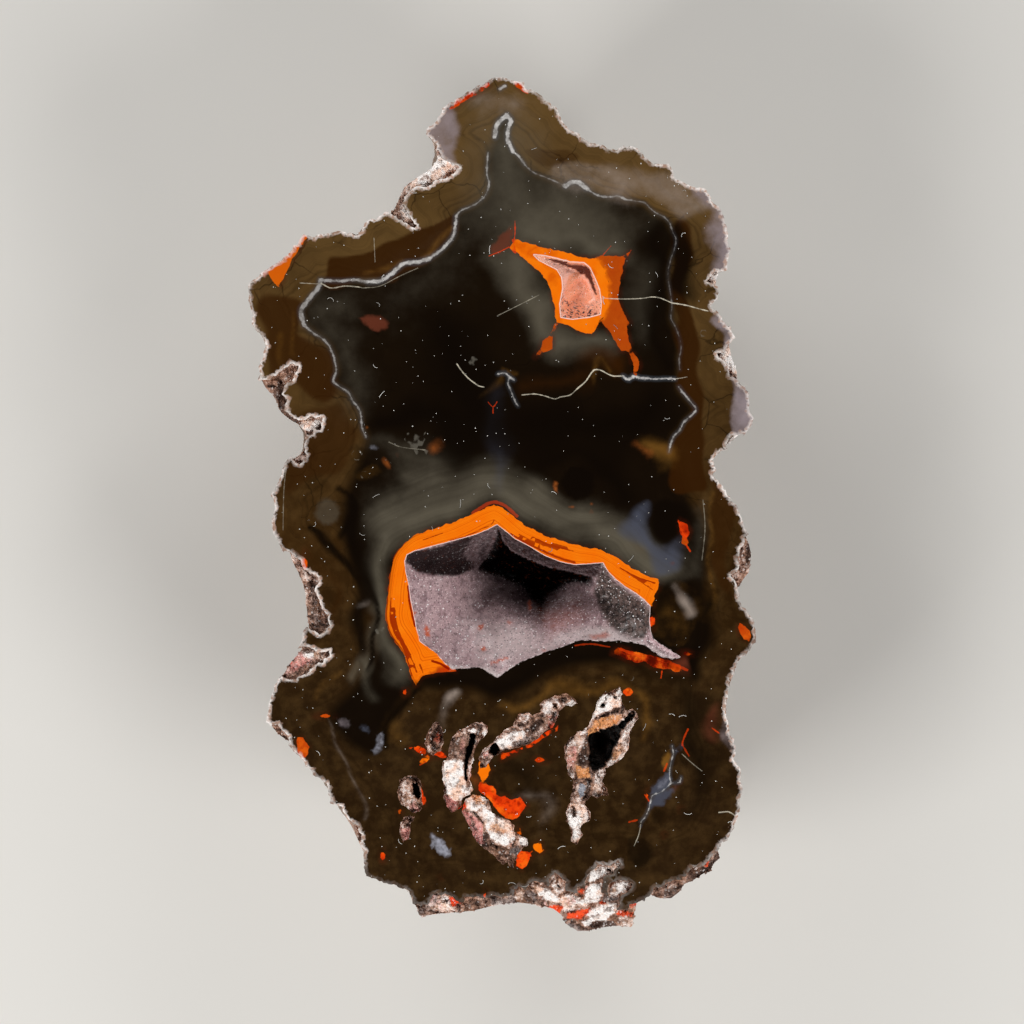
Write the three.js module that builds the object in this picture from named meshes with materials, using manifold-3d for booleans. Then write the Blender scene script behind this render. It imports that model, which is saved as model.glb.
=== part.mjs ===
// Half of a crater agate nodule, lying on its natural rind with the polished cut face up.
// Millimetres, +Z up out of the cut face, +Y towards the pointed end. The origin is the centre of
// the footprint, on the surface that the stone rests on.
import * as THREE from "three";
import { mergeVertices } from "three/addons/utils/BufferGeometryUtils.js";
import Module from "manifold-3d";

const wasm = await Module();
wasm.setup();

// Driving dimensions
const stoneHeight = 27; // cut face above the table
const nodulePower = 2.7; // roundness of the back: 2 is an ellipse, more is boxier
const noduleDepth = 28.7; // depth of the back before the resting lumps are worn flat
const spineTop = 21; // the back closes on a line between these two heights of the outline
const spineBottom = -21;
const faceClearance = 2; // how far the cutting tools stand out of the cut face
const toolFoot = 1; // height from which the cutting tools of the hollows start
const rindSwell = 2.0; // height of the broad swells of the rind, and how far apart they are
const swellSpacing = 21;
const rindLump = 1.9; // the same for its lumps
const lumpSpacing = 8;
const rindWart = 0.85; // and for the warts on them
const wartSpacing = 3.4;
const ledgeDepth = 1.25; // mean depth of the broken rind and plume hollows below the cut face
const ledgeRelief = 0.55; // how much that depth varies, in lumps and in the grains on them
const ledgeGrain = 0.4;
const throatDepth = 6; // the one deep hole, in the right-hand plume
const crustThickness = 1.1; // crystal crust under its lowest points
const crustGap = 0.3; // between a crust and the agate behind it
const rimDrop = 0.35; // a crust's edge lies this far under the cut face
const crustPitch = 0.82; // from crystal to crystal in the crater
const crystalHeight = 0.55;
const pocketPitch = 0.6;
const crustBackPitch = 1.7; // the hidden back of a crust is coarser
const pocketCrystalHeight = 0.25;
const pocketDepth = 1.5;

// Crater: slopes of its walls, and the deeper throat under its top wall
const gentleSlope = 0.95;
const steepSlope = 3.4;
const craterThroat = { x: 4.4, y: -8.2, reachX: 4.2, reachY: 2.6, depth: 3.4 };
const craterDeepest = 12;

// Edge of the cut face, clockwise from the tip, as [x, y]
const faceOutline = [
  [0.0, 43.1], [0.5, 42.9], [1.4, 42.8], [2.2, 42.5], [2.6, 42.0], [3.3, 41.7],
  [3.8, 41.3], [4.5, 40.4], [5.3, 40.0], [5.7, 39.5], [5.9, 38.9], [6.4, 38.2],
  [6.8, 37.8], [7.6, 37.6], [8.2, 36.9], [8.7, 36.4], [9.7, 36.4], [10.5, 36.0],
  [11.3, 35.8], [11.7, 36.2], [12.7, 36.3], [13.5, 35.9], [14.1, 35.3], [14.7, 34.6],
  [15.6, 34.4], [16.5, 34.4], [16.9, 33.7], [17.2, 33.0], [18.0, 32.5], [19.2, 32.1],
  [20.2, 32.1], [20.6, 31.5], [20.8, 30.7], [21.4, 30.2], [21.9, 29.7], [22.2, 28.8],
  [22.4, 27.5], [22.6, 25.9], [22.4, 24.7], [22.5, 23.3], [22.2, 22.1], [21.8, 21.2],
  [21.0, 20.8], [20.8, 20.3], [21.3, 19.6], [21.9, 18.8], [22.7, 18.0], [23.2, 17.1],
  [23.6, 16.0], [23.8, 14.8], [24.2, 13.8], [24.2, 12.3], [24.5, 10.9], [24.5, 9.8],
  [25.0, 9.0], [24.8, 8.2], [24.3, 7.6], [23.6, 7.0], [23.2, 6.4], [22.4, 6.0],
  [21.5, 5.4], [21.0, 4.8], [21.2, 4.1], [21.1, 3.2], [21.6, 2.5], [22.3, 1.8],
  [22.7, 1.0], [23.4, 0.1], [24.0, -1.0], [24.3, -2.2], [24.7, -3.2], [25.3, -4.1],
  [25.5, -5.1], [25.3, -6.2], [24.8, -7.1], [24.5, -7.9], [23.8, -8.4], [23.5, -9.0],
  [24.2, -9.9], [24.7, -10.8], [25.2, -12.1], [25.3, -13.2], [24.8, -13.9], [24.2, -14.9],
  [23.5, -15.4], [23.0, -16.4], [22.6, -17.7], [22.4, -19.4], [22.4, -21.2], [22.8, -22.5],
  [23.2, -23.9], [23.1, -25.3], [23.7, -26.2], [23.8, -27.5], [24.0, -28.2], [23.7, -29.0],
  [23.7, -30.2], [23.3, -31.3], [23.0, -32.2], [22.4, -33.1], [21.8, -33.6], [21.7, -34.2],
  [22.1, -34.8], [22.1, -35.4], [21.5, -36.0], [21.1, -36.8], [20.3, -37.2], [19.7, -38.0],
  [18.7, -38.2], [18.2, -39.0], [17.3, -39.6], [15.9, -39.6], [14.9, -39.2], [14.3, -39.1],
  [13.8, -39.9], [13.5, -41.0], [13.4, -42.0], [13.3, -42.9], [12.5, -42.7], [11.4, -42.5],
  [10.2, -42.7], [8.9, -43.1], [7.7, -43.0], [6.9, -42.4], [6.3, -41.9], [5.9, -40.8],
  [5.2, -40.2], [4.2, -40.0], [3.8, -40.2], [3.0, -39.8], [1.1, -39.5],
  [-0.8, -39.6], [-1.6, -40.0], [-2.8, -40.4], [-4.1, -40.5], [-5.3, -40.7], [-6.3, -41.0],
  [-7.6, -41.1], [-8.7, -41.4], [-9.0, -40.2], [-9.3, -39.1], [-9.6, -38.3], [-10.3, -37.9],
  [-11.5, -37.7], [-12.7, -37.1], [-13.6, -36.8], [-14.0, -36.1], [-14.0, -34.6], [-14.2, -33.6],
  [-14.1, -32.6], [-14.7, -31.8], [-15.6, -30.8], [-16.3, -29.9], [-17.2, -29.6], [-17.5, -28.6],
  [-17.6, -27.5], [-18.3, -27.0], [-18.9, -26.6], [-19.4, -25.8], [-20.1, -25.1], [-21.0, -24.2],
  [-21.7, -23.2], [-22.6, -22.7], [-23.2, -22.1], [-23.7, -21.3], [-23.5, -20.2], [-23.2, -19.0],
  [-22.7, -17.7], [-22.3, -16.7], [-21.7, -16.3], [-21.5, -15.2], [-20.9, -14.3], [-20.2, -13.3],
  [-19.8, -12.4], [-20.0, -11.2], [-20.2, -9.7], [-20.2, -8.5], [-20.6, -7.4], [-21.3, -6.1],
  [-22.0, -4.7], [-22.4, -3.4], [-22.9, -2.2], [-23.2, -0.9], [-22.8, 0.0], [-23.1, 1.3],
  [-22.6, 2.5], [-22.1, 3.8], [-21.5, 5.0], [-20.6, 5.4], [-19.9, 5.9], [-19.7, 6.7],
  [-19.9, 7.9], [-20.7, 8.4], [-21.7, 8.9], [-22.6, 9.7], [-23.0, 10.6], [-23.1, 11.5],
  [-24.0, 12.0], [-24.4, 12.8], [-24.3, 14.1], [-23.8, 15.6], [-23.8, 16.7], [-24.5, 17.5],
  [-25.1, 18.1], [-25.2, 19.5], [-25.4, 20.9], [-25.5, 21.9], [-25.0, 22.9], [-24.1, 23.4],
  [-23.2, 24.1], [-22.3, 24.7], [-21.5, 25.2], [-20.7, 26.4], [-20.0, 27.4], [-19.2, 27.1],
  [-18.1, 27.4], [-16.2, 27.7], [-15.3, 27.5], [-14.5, 27.2], [-14.1, 28.0], [-13.8, 28.7],
  [-13.1, 29.0], [-12.3, 29.8], [-11.2, 30.0], [-10.9, 30.9], [-10.6, 31.9], [-10.3, 32.8],
  [-9.4, 33.5], [-8.5, 34.1], [-7.5, 34.5], [-7.1, 35.1], [-6.6, 35.7], [-6.9, 36.6],
  [-7.5, 37.2], [-7.7, 37.9], [-7.1, 38.4], [-6.5, 38.8], [-6.1, 39.8], [-5.3, 40.6],
  [-4.2, 41.3], [-3.1, 41.7], [-2.2, 42.3], [-1.4, 42.9], [-0.6, 43.0],
];

// Mouth of the crater
const craterMouth = [
  [-9.6, -4.7], [-8.8, -4.3], [-7.3, -3.9], [-5.8, -3.5], [-4.3, -3.1], [-2.8, -2.7],
  [-1.6, -2.2], [-0.6, -1.7], [0.2, -2.3], [1.2, -3.1], [2.7, -3.9], [4.2, -4.8],
  [5.7, -5.4], [7.2, -5.7], [8.7, -5.6], [10.0, -5.5], [10.5, -6.4], [11.2, -7.1],
  [12.2, -7.9], [13.2, -8.5], [14.0, -9.1], [14.7, -9.8], [14.6, -11.1], [14.7, -12.3],
  [15.0, -13.1], [15.7, -13.6], [16.7, -14.2], [17.7, -14.9], [16.9, -15.1], [15.7, -14.8],
  [14.9, -14.2], [14.2, -13.7], [12.9, -13.4], [11.5, -13.2], [10.2, -13.3], [8.7, -13.2],
  [7.5, -13.2], [6.5, -13.6], [5.5, -14.0], [4.2, -14.4], [2.9, -14.9], [1.7, -15.4],
  [0.7, -16.0], [0.0, -16.6], [-0.6, -16.9], [-1.3, -16.5], [-2.0, -16.0], [-2.8, -15.9],
  [-3.9, -16.0], [-5.1, -16.1], [-5.8, -15.5], [-6.6, -14.6], [-7.5, -13.9], [-8.3, -13.3],
  [-8.6, -12.1], [-8.9, -10.6], [-9.2, -9.1], [-9.4, -7.6], [-9.7, -6.3], [-9.8, -5.3],
];

// Mouth of the small crystal pocket in the star above it
const pocketMouth = [
  [3.1, 25.3], [4.2, 25.2], [5.5, 24.9], [6.7, 24.6], [8.1, 24.5], [8.7, 24.0],
  [9.1, 23.1], [9.6, 21.9], [9.8, 20.6], [9.7, 19.4], [8.5, 19.1], [7.0, 18.9],
  [5.8, 19.1], [5.7, 20.4], [6.0, 21.9], [5.9, 23.1], [5.4, 23.9], [4.4, 24.4],
  [3.6, 24.8],
];

// Crumbly plumes, open at the cut face
const plumes = {
  leaf: [
    [-6.5, -21.3], [-6.0, -22.0], [-5.9, -23.2], [-6.2, -24.2], [-6.9, -24.8],
    [-7.5, -24.4], [-7.8, -23.5], [-7.5, -22.4], [-7.0, -21.6],
  ],
  oval: [
    [-10.3, -27.2], [-9.6, -26.7], [-8.8, -26.6], [-8.3, -27.2], [-8.1, -28.1],
    [-8.1, -28.9], [-7.9, -29.7], [-8.3, -30.3], [-9.1, -30.5], [-9.8, -30.0],
    [-10.3, -29.3], [-10.6, -28.5], [-10.4, -27.8],
  ],
  bead: [
    [-9.9, -30.9], [-9.3, -30.7], [-8.8, -30.9], [-9.2, -31.6], [-9.2, -32.5],
    [-9.4, -33.1], [-10.0, -33.3], [-10.3, -32.7], [-10.2, -31.7],
  ],
  column: [
    [-5.2, -23.0], [-4.4, -22.2], [-3.4, -21.8], [-2.8, -21.4], [-1.9, -21.4],
    [-1.4, -21.9], [-1.6, -22.6], [-2.3, -23.2], [-2.7, -24.1], [-2.9, -24.9],
    [-3.2, -25.9], [-3.3, -27.1], [-3.0, -28.1], [-3.4, -28.6], [-4.1, -29.1],
    [-4.1, -29.9], [-4.6, -30.3], [-5.1, -30.5], [-5.6, -29.9], [-5.9, -28.9],
    [-5.9, -27.9], [-6.1, -26.6], [-6.0, -25.5], [-5.4, -24.8], [-5.3, -23.9],
  ],
  arm: [
    [-1.5, -23.8], [-0.6, -22.9], [0.2, -22.2], [1.1, -21.8], [1.3, -21.0],
    [1.7, -20.5], [2.5, -20.5], [3.0, -20.8], [3.8, -20.4], [3.8, -19.6],
    [4.3, -19.1], [5.3, -18.8], [6.1, -18.6], [6.9, -18.9], [7.5, -19.5],
    [6.8, -19.8], [5.9, -19.9], [5.5, -20.5], [5.2, -21.3], [5.0, -21.8],
    [4.2, -22.4], [3.4, -23.1], [2.3, -23.7], [0.9, -24.1], [-0.3, -24.6],
    [-1.1, -25.1], [-1.7, -25.9], [-2.3, -26.1], [-2.4, -25.1], [-2.0, -24.3],
  ],
  foot: [
    [-4.0, -30.2], [-3.8, -29.3], [-3.1, -28.6], [-2.3, -28.8], [-1.5, -29.1],
    [-1.2, -29.8], [-0.9, -30.5], [-0.3, -31.0], [0.5, -31.2], [1.0, -31.7],
    [1.1, -32.4], [1.8, -32.7], [2.5, -33.0], [2.6, -33.7], [2.0, -34.0],
    [1.6, -34.4], [1.3, -35.1], [1.1, -35.9], [0.8, -36.0], [0.5, -35.4],
    [0.0, -35.7], [-0.5, -35.2], [-1.0, -34.6], [-1.8, -34.1], [-2.6, -33.4],
    [-3.1, -32.5], [-3.5, -31.6], [-3.9, -30.8],
  ],
  tower: [
    [11.0, -18.2], [11.7, -17.8], [11.9, -18.5], [12.0, -19.5], [12.2, -20.4],
    [12.8, -20.2], [13.4, -20.3], [13.5, -21.0], [13.0, -21.8], [12.7, -22.6],
    [12.5, -23.4], [12.5, -24.1], [12.1, -24.8], [11.4, -25.5], [10.8, -25.7],
    [10.3, -26.0], [10.3, -26.7], [10.0, -27.5], [10.5, -28.2], [10.6, -28.7],
    [9.9, -28.7], [9.3, -29.0], [8.8, -28.7], [8.4, -29.2], [8.1, -29.8],
    [8.8, -30.4], [8.7, -31.3], [8.1, -31.6], [7.7, -32.0], [8.0, -32.5],
    [7.7, -33.0], [7.3, -33.6], [6.8, -33.2], [6.7, -32.1], [6.3, -31.3],
    [6.4, -30.3], [6.7, -29.4], [6.8, -28.4], [6.9, -27.2], [6.5, -26.5],
    [6.4, -25.5], [6.2, -24.3], [6.2, -23.6], [6.8, -23.0], [7.5, -22.5],
    [8.3, -22.0], [8.8, -21.1], [9.2, -20.0], [9.6, -19.0], [10.1, -18.5],
  ],
};

// The deep hole inside the tower plume
const throat = [
  [8.7, -22.8], [9.5, -22.2], [10.5, -22.1], [11.4, -21.8], [12.1, -21.0],
  [12.8, -20.4], [13.2, -20.6], [12.8, -21.3], [12.1, -22.2], [11.5, -23.2],
  [10.9, -24.2], [10.2, -25.2], [9.4, -25.7], [8.7, -25.4], [8.3, -24.6],
  [8.6, -23.7],
];

// Places where the rim is broken down to rough rind; each runs out past the edge of the face
const brokenRim = {
  upperLeft: [
    [-7.0, 35.7], [-6.4, 35.8], [-6.2, 35.1], [-5.5, 34.6], [-4.8, 34.1], [-4.3, 33.9],
    [-4.8, 33.3], [-5.8, 33.0], [-6.7, 32.8], [-7.3, 32.3], [-8.3, 32.1], [-9.2, 31.9],
    [-9.7, 31.3], [-10.1, 30.6], [-9.8, 29.8], [-9.2, 29.0], [-8.6, 28.3], [-8.9, 28.0],
    [-9.6, 28.3], [-10.1, 28.5], [-10.6, 29.0], [-11.2, 29.4], [-11.9, 29.6], [-12.4, 29.3],
    [-12.9, 28.8], [-13.7, 29.5], [-12.3, 30.8], [-11.7, 31.9], [-11.1, 33.4], [-9.0, 35.1],
    [-7.4, 36.0],
  ],
  leftNotch: [
    [-24.7, 12.5], [-24.1, 12.8], [-23.4, 12.9], [-22.8, 13.3], [-22.1, 13.7], [-21.5, 14.1],
    [-20.5, 14.3], [-20.6, 13.6], [-20.9, 12.8], [-21.5, 12.4], [-21.8, 11.9], [-22.0, 11.3],
    [-21.5, 10.8], [-21.8, 10.2], [-22.0, 9.8], [-21.3, 9.3], [-20.4, 8.9], [-19.7, 8.8],
    [-19.1, 9.1], [-18.0, 9.0], [-18.1, 8.4], [-18.3, 7.8], [-19.0, 7.9], [-19.1, 7.4],
    [-19.8, 7.3], [-20.4, 6.8], [-21.5, 7.9], [-23.1, 9.1], [-23.9, 10.9], [-24.9, 11.7],
  ],
  leftTab: [
    [-21.7, 5.1], [-21.4, 5.0], [-20.8, 4.8], [-20.3, 4.4], [-19.8, 4.8], [-19.5, 5.4],
    [-19.7, 6.1], [-20.4, 6.3], [-21.6, 5.7],
  ],
  leftFlank: [
    [-21.9, -4.4], [-21.3, -4.3], [-20.8, -4.8], [-20.2, -5.2], [-19.8, -6.1], [-19.3, -6.5],
    [-18.7, -6.9], [-18.5, -7.6], [-18.9, -8.2], [-18.5, -8.8], [-18.2, -9.7], [-17.7, -10.5],
    [-17.3, -11.5], [-17.7, -12.2], [-18.3, -12.7], [-19.0, -12.3], [-19.6, -12.0],
    [-20.5, -12.4], [-20.8, -10.1], [-21.0, -8.6], [-21.8, -6.8], [-22.5, -5.3],
  ],
  leftWedge: [
    [-21.1, -14.1], [-20.5, -14.1], [-19.9, -13.9], [-19.2, -14.0], [-18.7, -14.3],
    [-18.1, -14.4], [-17.4, -14.3], [-17.4, -14.8], [-18.1, -15.3], [-18.8, -15.7],
    [-19.3, -16.2], [-20.1, -16.7], [-20.7, -17.1], [-21.5, -17.0], [-22.0, -16.9],
    [-22.8, -17.2], [-22.3, -15.5], [-21.7, -14.5],
  ],
  leftCorner: [
    [-23.5, -21.9], [-23.1, -21.5], [-22.5, -21.5], [-22.1, -22.0], [-21.7, -22.6],
    [-21.4, -23.4], [-22.1, -23.6], [-23.5, -23.0], [-24.0, -22.1],
  ],
  rightKnob: [
    [22.9, 24.1], [22.1, 23.6], [21.3, 23.8], [20.9, 23.3], [20.4, 22.7], [21.0, 22.5],
    [21.5, 22.1], [21.6, 21.5], [21.2, 21.0], [20.8, 20.6], [21.7, 20.3], [23.0, 21.7],
  ],
  rightShoulder: [
    [23.8, 17.3], [23.1, 16.8], [22.6, 16.4], [22.2, 15.8], [21.4, 15.4], [21.5, 15.0],
    [22.1, 14.7], [22.5, 13.9], [22.8, 13.1], [23.4, 12.8], [23.9, 12.3], [24.6, 12.1],
    [24.7, 14.4], [24.3, 16.1],
  ],
  rightNotch: [
    [23.9, 7.5], [23.3, 7.3], [22.8, 7.0], [22.4, 6.6], [22.2, 6.1], [22.8, 5.8], [23.9, 6.4],
  ],
  rightHip: [
    [24.9, -2.2], [24.3, -2.6], [24.1, -3.3], [23.7, -3.9], [23.5, -4.7], [23.7, -5.6],
    [23.5, -6.3], [22.9, -6.8], [23.2, -7.4], [23.4, -8.1], [23.6, -8.7], [24.4, -9.0],
    [25.4, -8.2], [26.0, -6.1], [26.0, -3.9],
  ],
  rightFoot: [
    [22.4, -33.9], [21.6, -33.9], [21.3, -34.7], [20.8, -35.0], [20.3, -35.5], [19.6, -35.8],
    [18.9, -36.0], [18.4, -36.6], [17.8, -37.0], [17.2, -37.2], [16.5, -37.5], [16.0, -37.9],
    [15.3, -38.0], [14.7, -38.6], [14.2, -39.1], [14.7, -39.8], [16.3, -40.2], [18.7, -39.9],
    [20.0, -38.5], [21.5, -37.5], [22.7, -35.7],
  ],
  base: [
    [-10.5, -38.4], [-9.8, -38.1], [-9.2, -38.8], [-9.1, -39.5], [-8.3, -39.8], [-7.6, -39.6],
    [-7.4, -38.9], [-6.7, -38.5], [-5.9, -38.6], [-5.1, -39.0], [-4.3, -39.4], [-3.7, -38.9],
    [-2.8, -38.9], [-1.9, -39.1], [-1.1, -38.8], [0.1, -38.9], [1.0, -38.9], [1.1, -38.0],
    [1.6, -37.8], [2.2, -38.1], [2.9, -37.4], [3.8, -37.6], [4.6, -37.9], [4.8, -37.1],
    [5.0, -36.4], [5.7, -36.8], [6.3, -37.4], [6.2, -38.2], [6.8, -38.5], [7.3, -38.5],
    [7.4, -37.8], [8.0, -38.1], [8.2, -37.1], [8.8, -36.3], [9.7, -35.7], [10.7, -35.7],
    [11.6, -35.3], [11.9, -35.5], [11.2, -36.1], [11.0, -36.6], [10.0, -36.8], [10.0, -37.7],
    [9.9, -38.4], [10.6, -38.7], [10.6, -37.5], [11.5, -37.2], [12.5, -37.1], [13.0, -37.5],
    [12.7, -38.2], [11.9, -38.8], [11.8, -39.4], [11.3, -40.2], [12.4, -40.2], [12.8, -39.6],
    [13.5, -39.4], [14.1, -39.2], [14.7, -39.9], [14.3, -44.1], [5.7, -44.3], [-9.8, -42.6],
    [-10.7, -39.6],
  ],
};

// A number from 0 to 1 that depends only on three whole numbers
function hash(i, j, k) {
  const s = Math.sin(i * 127.1 + j * 311.7 + k * 74.7) * 43758.5453;
  return s - Math.floor(s);
}

// Smooth noise from -1 to 1 over a lattice of the given spacing
function noise(x, y, z, spacing) {
  const cell = [x, y, z].map((v) => Math.floor(v / spacing));
  const part = [x, y, z].map((v, n) => v / spacing - cell[n]);
  const [u, v, w] = part.map((t) => t * t * (3 - 2 * t));
  let sum = 0;
  for (const [a, b, c] of [
    [0, 0, 0], [1, 0, 0], [0, 1, 0], [1, 1, 0],
    [0, 0, 1], [1, 0, 1], [0, 1, 1], [1, 1, 1],
  ]) {
    const weight = (a ? u : 1 - u) * (b ? v : 1 - v) * (c ? w : 1 - w);
    sum += weight * hash(cell[0] + a, cell[1] + b, cell[2] + c);
  }
  return 2 * sum - 1;
}

function clamp(value, low, high) {
  return Math.min(high, Math.max(low, value));
}

// Geometry to solid and back
function solidOf(geometry) {
  const bare = geometry.index ? geometry.toNonIndexed() : geometry.clone();
  bare.deleteAttribute("normal");
  bare.deleteAttribute("uv");
  const merged = mergeVertices(bare, 1e-4);
  return new wasm.Manifold(
    new wasm.Mesh({
      numProp: 3,
      vertProperties: merged.attributes.position.array,
      triVerts: new Uint32Array(merged.index.array),
    }),
  );
}

function geometryOf(solid) {
  const mesh = solid.getMesh();
  const geometry = new THREE.BufferGeometry();
  geometry.setAttribute("position", new THREE.BufferAttribute(mesh.vertProperties, 3));
  geometry.setIndex(new THREE.BufferAttribute(mesh.triVerts, 1));
  geometry.computeVertexNormals();
  return geometry;
}

// A straight prism over an outline, from one height to another
function prism(outline, low, high) {
  const shape = new THREE.Shape(outline.map(([x, y]) => new THREE.Vector2(x, y)));
  const geometry = new THREE.ExtrudeGeometry(shape, { depth: high - low, bevelEnabled: false });
  geometry.translate(0, 0, low);
  return solidOf(geometry);
}

// A slab over the outline's box, with its top and bottom pushed to the given heights. A top that
// stands in points gets them square to the slope.
function slab(outline, pitch, bottomAt, topAt, jitter = 0, pointAt = () => [0, 0, 0]) {
  const margin = 1.5;
  const xs = outline.map((p) => p[0]);
  const ys = outline.map((p) => p[1]);
  const width = Math.max(...xs) - Math.min(...xs) + 2 * margin;
  const length = Math.max(...ys) - Math.min(...ys) + 2 * margin;
  const columns = Math.round(width / pitch);
  const rows = Math.round(length / pitch);
  const geometry = new THREE.BoxGeometry(width, length, 2, columns, rows, 1);
  const position = geometry.attributes.position;
  const middleX = (Math.max(...xs) + Math.min(...xs)) / 2;
  const middleY = (Math.max(...ys) + Math.min(...ys)) / 2;
  for (let n = 0; n < position.count; n++) {
    const i = Math.round((position.getX(n) / width + 0.5) * columns);
    const j = Math.round((position.getY(n) / length + 0.5) * rows);
    const inside = i > 0 && i < columns && j > 0 && j < rows ? jitter * pitch : 0;
    const x = middleX + position.getX(n) + inside * (hash(i, j, 1) - 0.5);
    const y = middleY + position.getY(n) + inside * (hash(i, j, 2) - 0.5);
    const isTop = position.getZ(n) > 0;
    const height = isTop ? topAt(x, y) : bottomAt(x, y);
    const point = isTop && inside ? pointAt(x, y, i, j) : [0, 0, 0];
    position.setXYZ(n, x + point[0], y + point[1], height + point[2]);
  }
  return solidOf(geometry);
}

// Distance from a point to one edge of an outline
function distanceToEdge(x, y, a, b) {
  const along = [b[0] - a[0], b[1] - a[1]];
  const lengthSquared = along[0] ** 2 + along[1] ** 2;
  const t = clamp(((x - a[0]) * along[0] + (y - a[1]) * along[1]) / lengthSquared, 0, 1);
  return Math.hypot(x - a[0] - t * along[0], y - a[1] - t * along[1]);
}

function distanceToOutline(x, y, outline) {
  return Math.min(
    ...outline.map((a, n) => distanceToEdge(x, y, a, outline[(n + 1) % outline.length])),
  );
}

// True inside the outline, by counting the edges that a ray crosses
function isInside(x, y, outline) {
  return outline.reduce((inside, a, n) => {
    const b = outline[(n + 1) % outline.length];
    const crosses = a[1] > y !== b[1] > y && x < ((b[0] - a[0]) * (y - a[1])) / (b[1] - a[1]) + a[0];
    return crosses ? !inside : inside;
  }, false);
}

// The outline moved inwards; points that end up too near another edge are left out
function inset(outline, distance) {
  return outline
    .map((b, n) => {
      const a = outline.at(n - 1);
      const c = outline[(n + 1) % outline.length];
      const length = Math.hypot(c[0] - a[0], c[1] - a[1]);
      return [
        b[0] + (distance * (c[1] - a[1])) / length,
        b[1] - (distance * (c[0] - a[0])) / length,
      ];
    })
    .filter(([x, y]) => isInside(x, y, outline) && distanceToOutline(x, y, outline) > 0.8 * distance);
}

// Each wall of a hollow falls away from its own edge of the mouth, so the walls meet in creases.
// A wall under a top edge is steep and one above a bottom edge is gentle.
function wallDepth(x, y, mouth, gentle, steep) {
  if (!isInside(x, y, mouth)) return 0;
  return Math.min(
    ...mouth.map((a, n) => {
      const b = mouth[(n + 1) % mouth.length];
      const length = Math.hypot(b[0] - a[0], b[1] - a[1]);
      const facesDown = Math.max(0, (b[0] - a[0]) / length);
      const slope = gentle + (steep - gentle) * facesDown ** 1.5;
      return distanceToEdge(x, y, a, b) * slope;
    }),
  );
}

function craterFloor(x, y) {
  const walls = wallDepth(x, y, craterMouth, gentleSlope, steepSlope);
  const offX = (x - craterThroat.x) / craterThroat.reachX;
  const offY = (y - craterThroat.y) / craterThroat.reachY;
  const extra = craterThroat.depth * Math.exp(-offX * offX - offY * offY) * Math.min(1, walls / 3);
  const swell = 0.35 * noise(x, y, 0, 3.1) * Math.min(1, walls);
  return stoneHeight - rimDrop - Math.min(craterDeepest, walls + extra + swell);
}

function pocketFloor(x, y) {
  const walls = wallDepth(x, y, pocketMouth, 0.9, 2.6);
  return stoneHeight - rimDrop - Math.min(pocketDepth, walls) + 0.15 * noise(x, y, 5, 1.3);
}

// Crystal points stand on every second corner of the grid, square to the floor that they grow on,
// and lean too little to fold the crust over
function crystalOn(floorAt, pitch, tallest) {
  const probe = 0.2;
  return (x, y, i, j) => {
    if ((i + j) % 2) return [0, 0, 0];
    const slopeX = (floorAt(x + probe, y) - floorAt(x - probe, y)) / (2 * probe);
    const slopeY = (floorAt(x, y + probe) - floorAt(x, y - probe)) / (2 * probe);
    const rise = (tallest * (0.4 + 0.6 * hash(i, j, 9))) / Math.hypot(slopeX, slopeY, 1);
    const lean = Math.min(rise, (0.3 * pitch) / Math.hypot(slopeX, slopeY, probe));
    return [-slopeX * lean, -slopeY * lean, rise];
  };
}

// Averages each point with its neighbours, several times over
function smoothed(outline, times) {
  let points = outline;
  for (let n = 0; n < times; n++)
    points = points.map((p, i) => {
      const before = points.at(i - 1);
      const after = points[(i + 1) % points.length];
      return [(before[0] + 2 * p[0] + after[0]) / 4, (before[1] + 2 * p[1] + after[1]) / 4];
    });
  return points;
}

// One ring of the nodule's back, at an angle from the face: the outline, evened out more the deeper
// it lies, drawn in towards the spine, with the rind's lumps. They stay within the edge of the face.
function ring(angle, everyNth) {
  const depth = noduleDepth * Math.sin(angle) ** (2 / nodulePower);
  const scale = Math.cos(angle) ** (2 / nodulePower);
  const broadShare = clamp(depth / 8, 0, 1);
  const fineShare = clamp(depth / 2.5, 0, 1);
  return smoothed(faceOutline, Math.round(0.35 * depth * depth))
    .filter((_, n) => n % everyNth === 0)
    .map(([x, y]) => {
      const homeY = clamp(y, spineBottom, spineTop);
      const reach = Math.max(Math.hypot(x, y - homeY), 6);
      const onBack = [x * scale, homeY + (y - homeY) * scale, depth];
      const swell = rindSwell * (noise(...onBack, swellSpacing) - 0.35);
      const lump = rindLump * (noise(...onBack, lumpSpacing) - 0.35);
      const wart = rindWart * (noise(...onBack, wartSpacing) - 0.35);
      const outward = scale * (1 + (broadShare * (swell + lump) + fineShare * wart) / reach);
      const underside = 4 * scale * (1 - scale);
      const downward = underside * (swell + lump) + (1 - scale) * wart;
      return [x * outward, homeY + (y - homeY) * outward, stoneHeight - depth - downward];
    });
}

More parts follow.
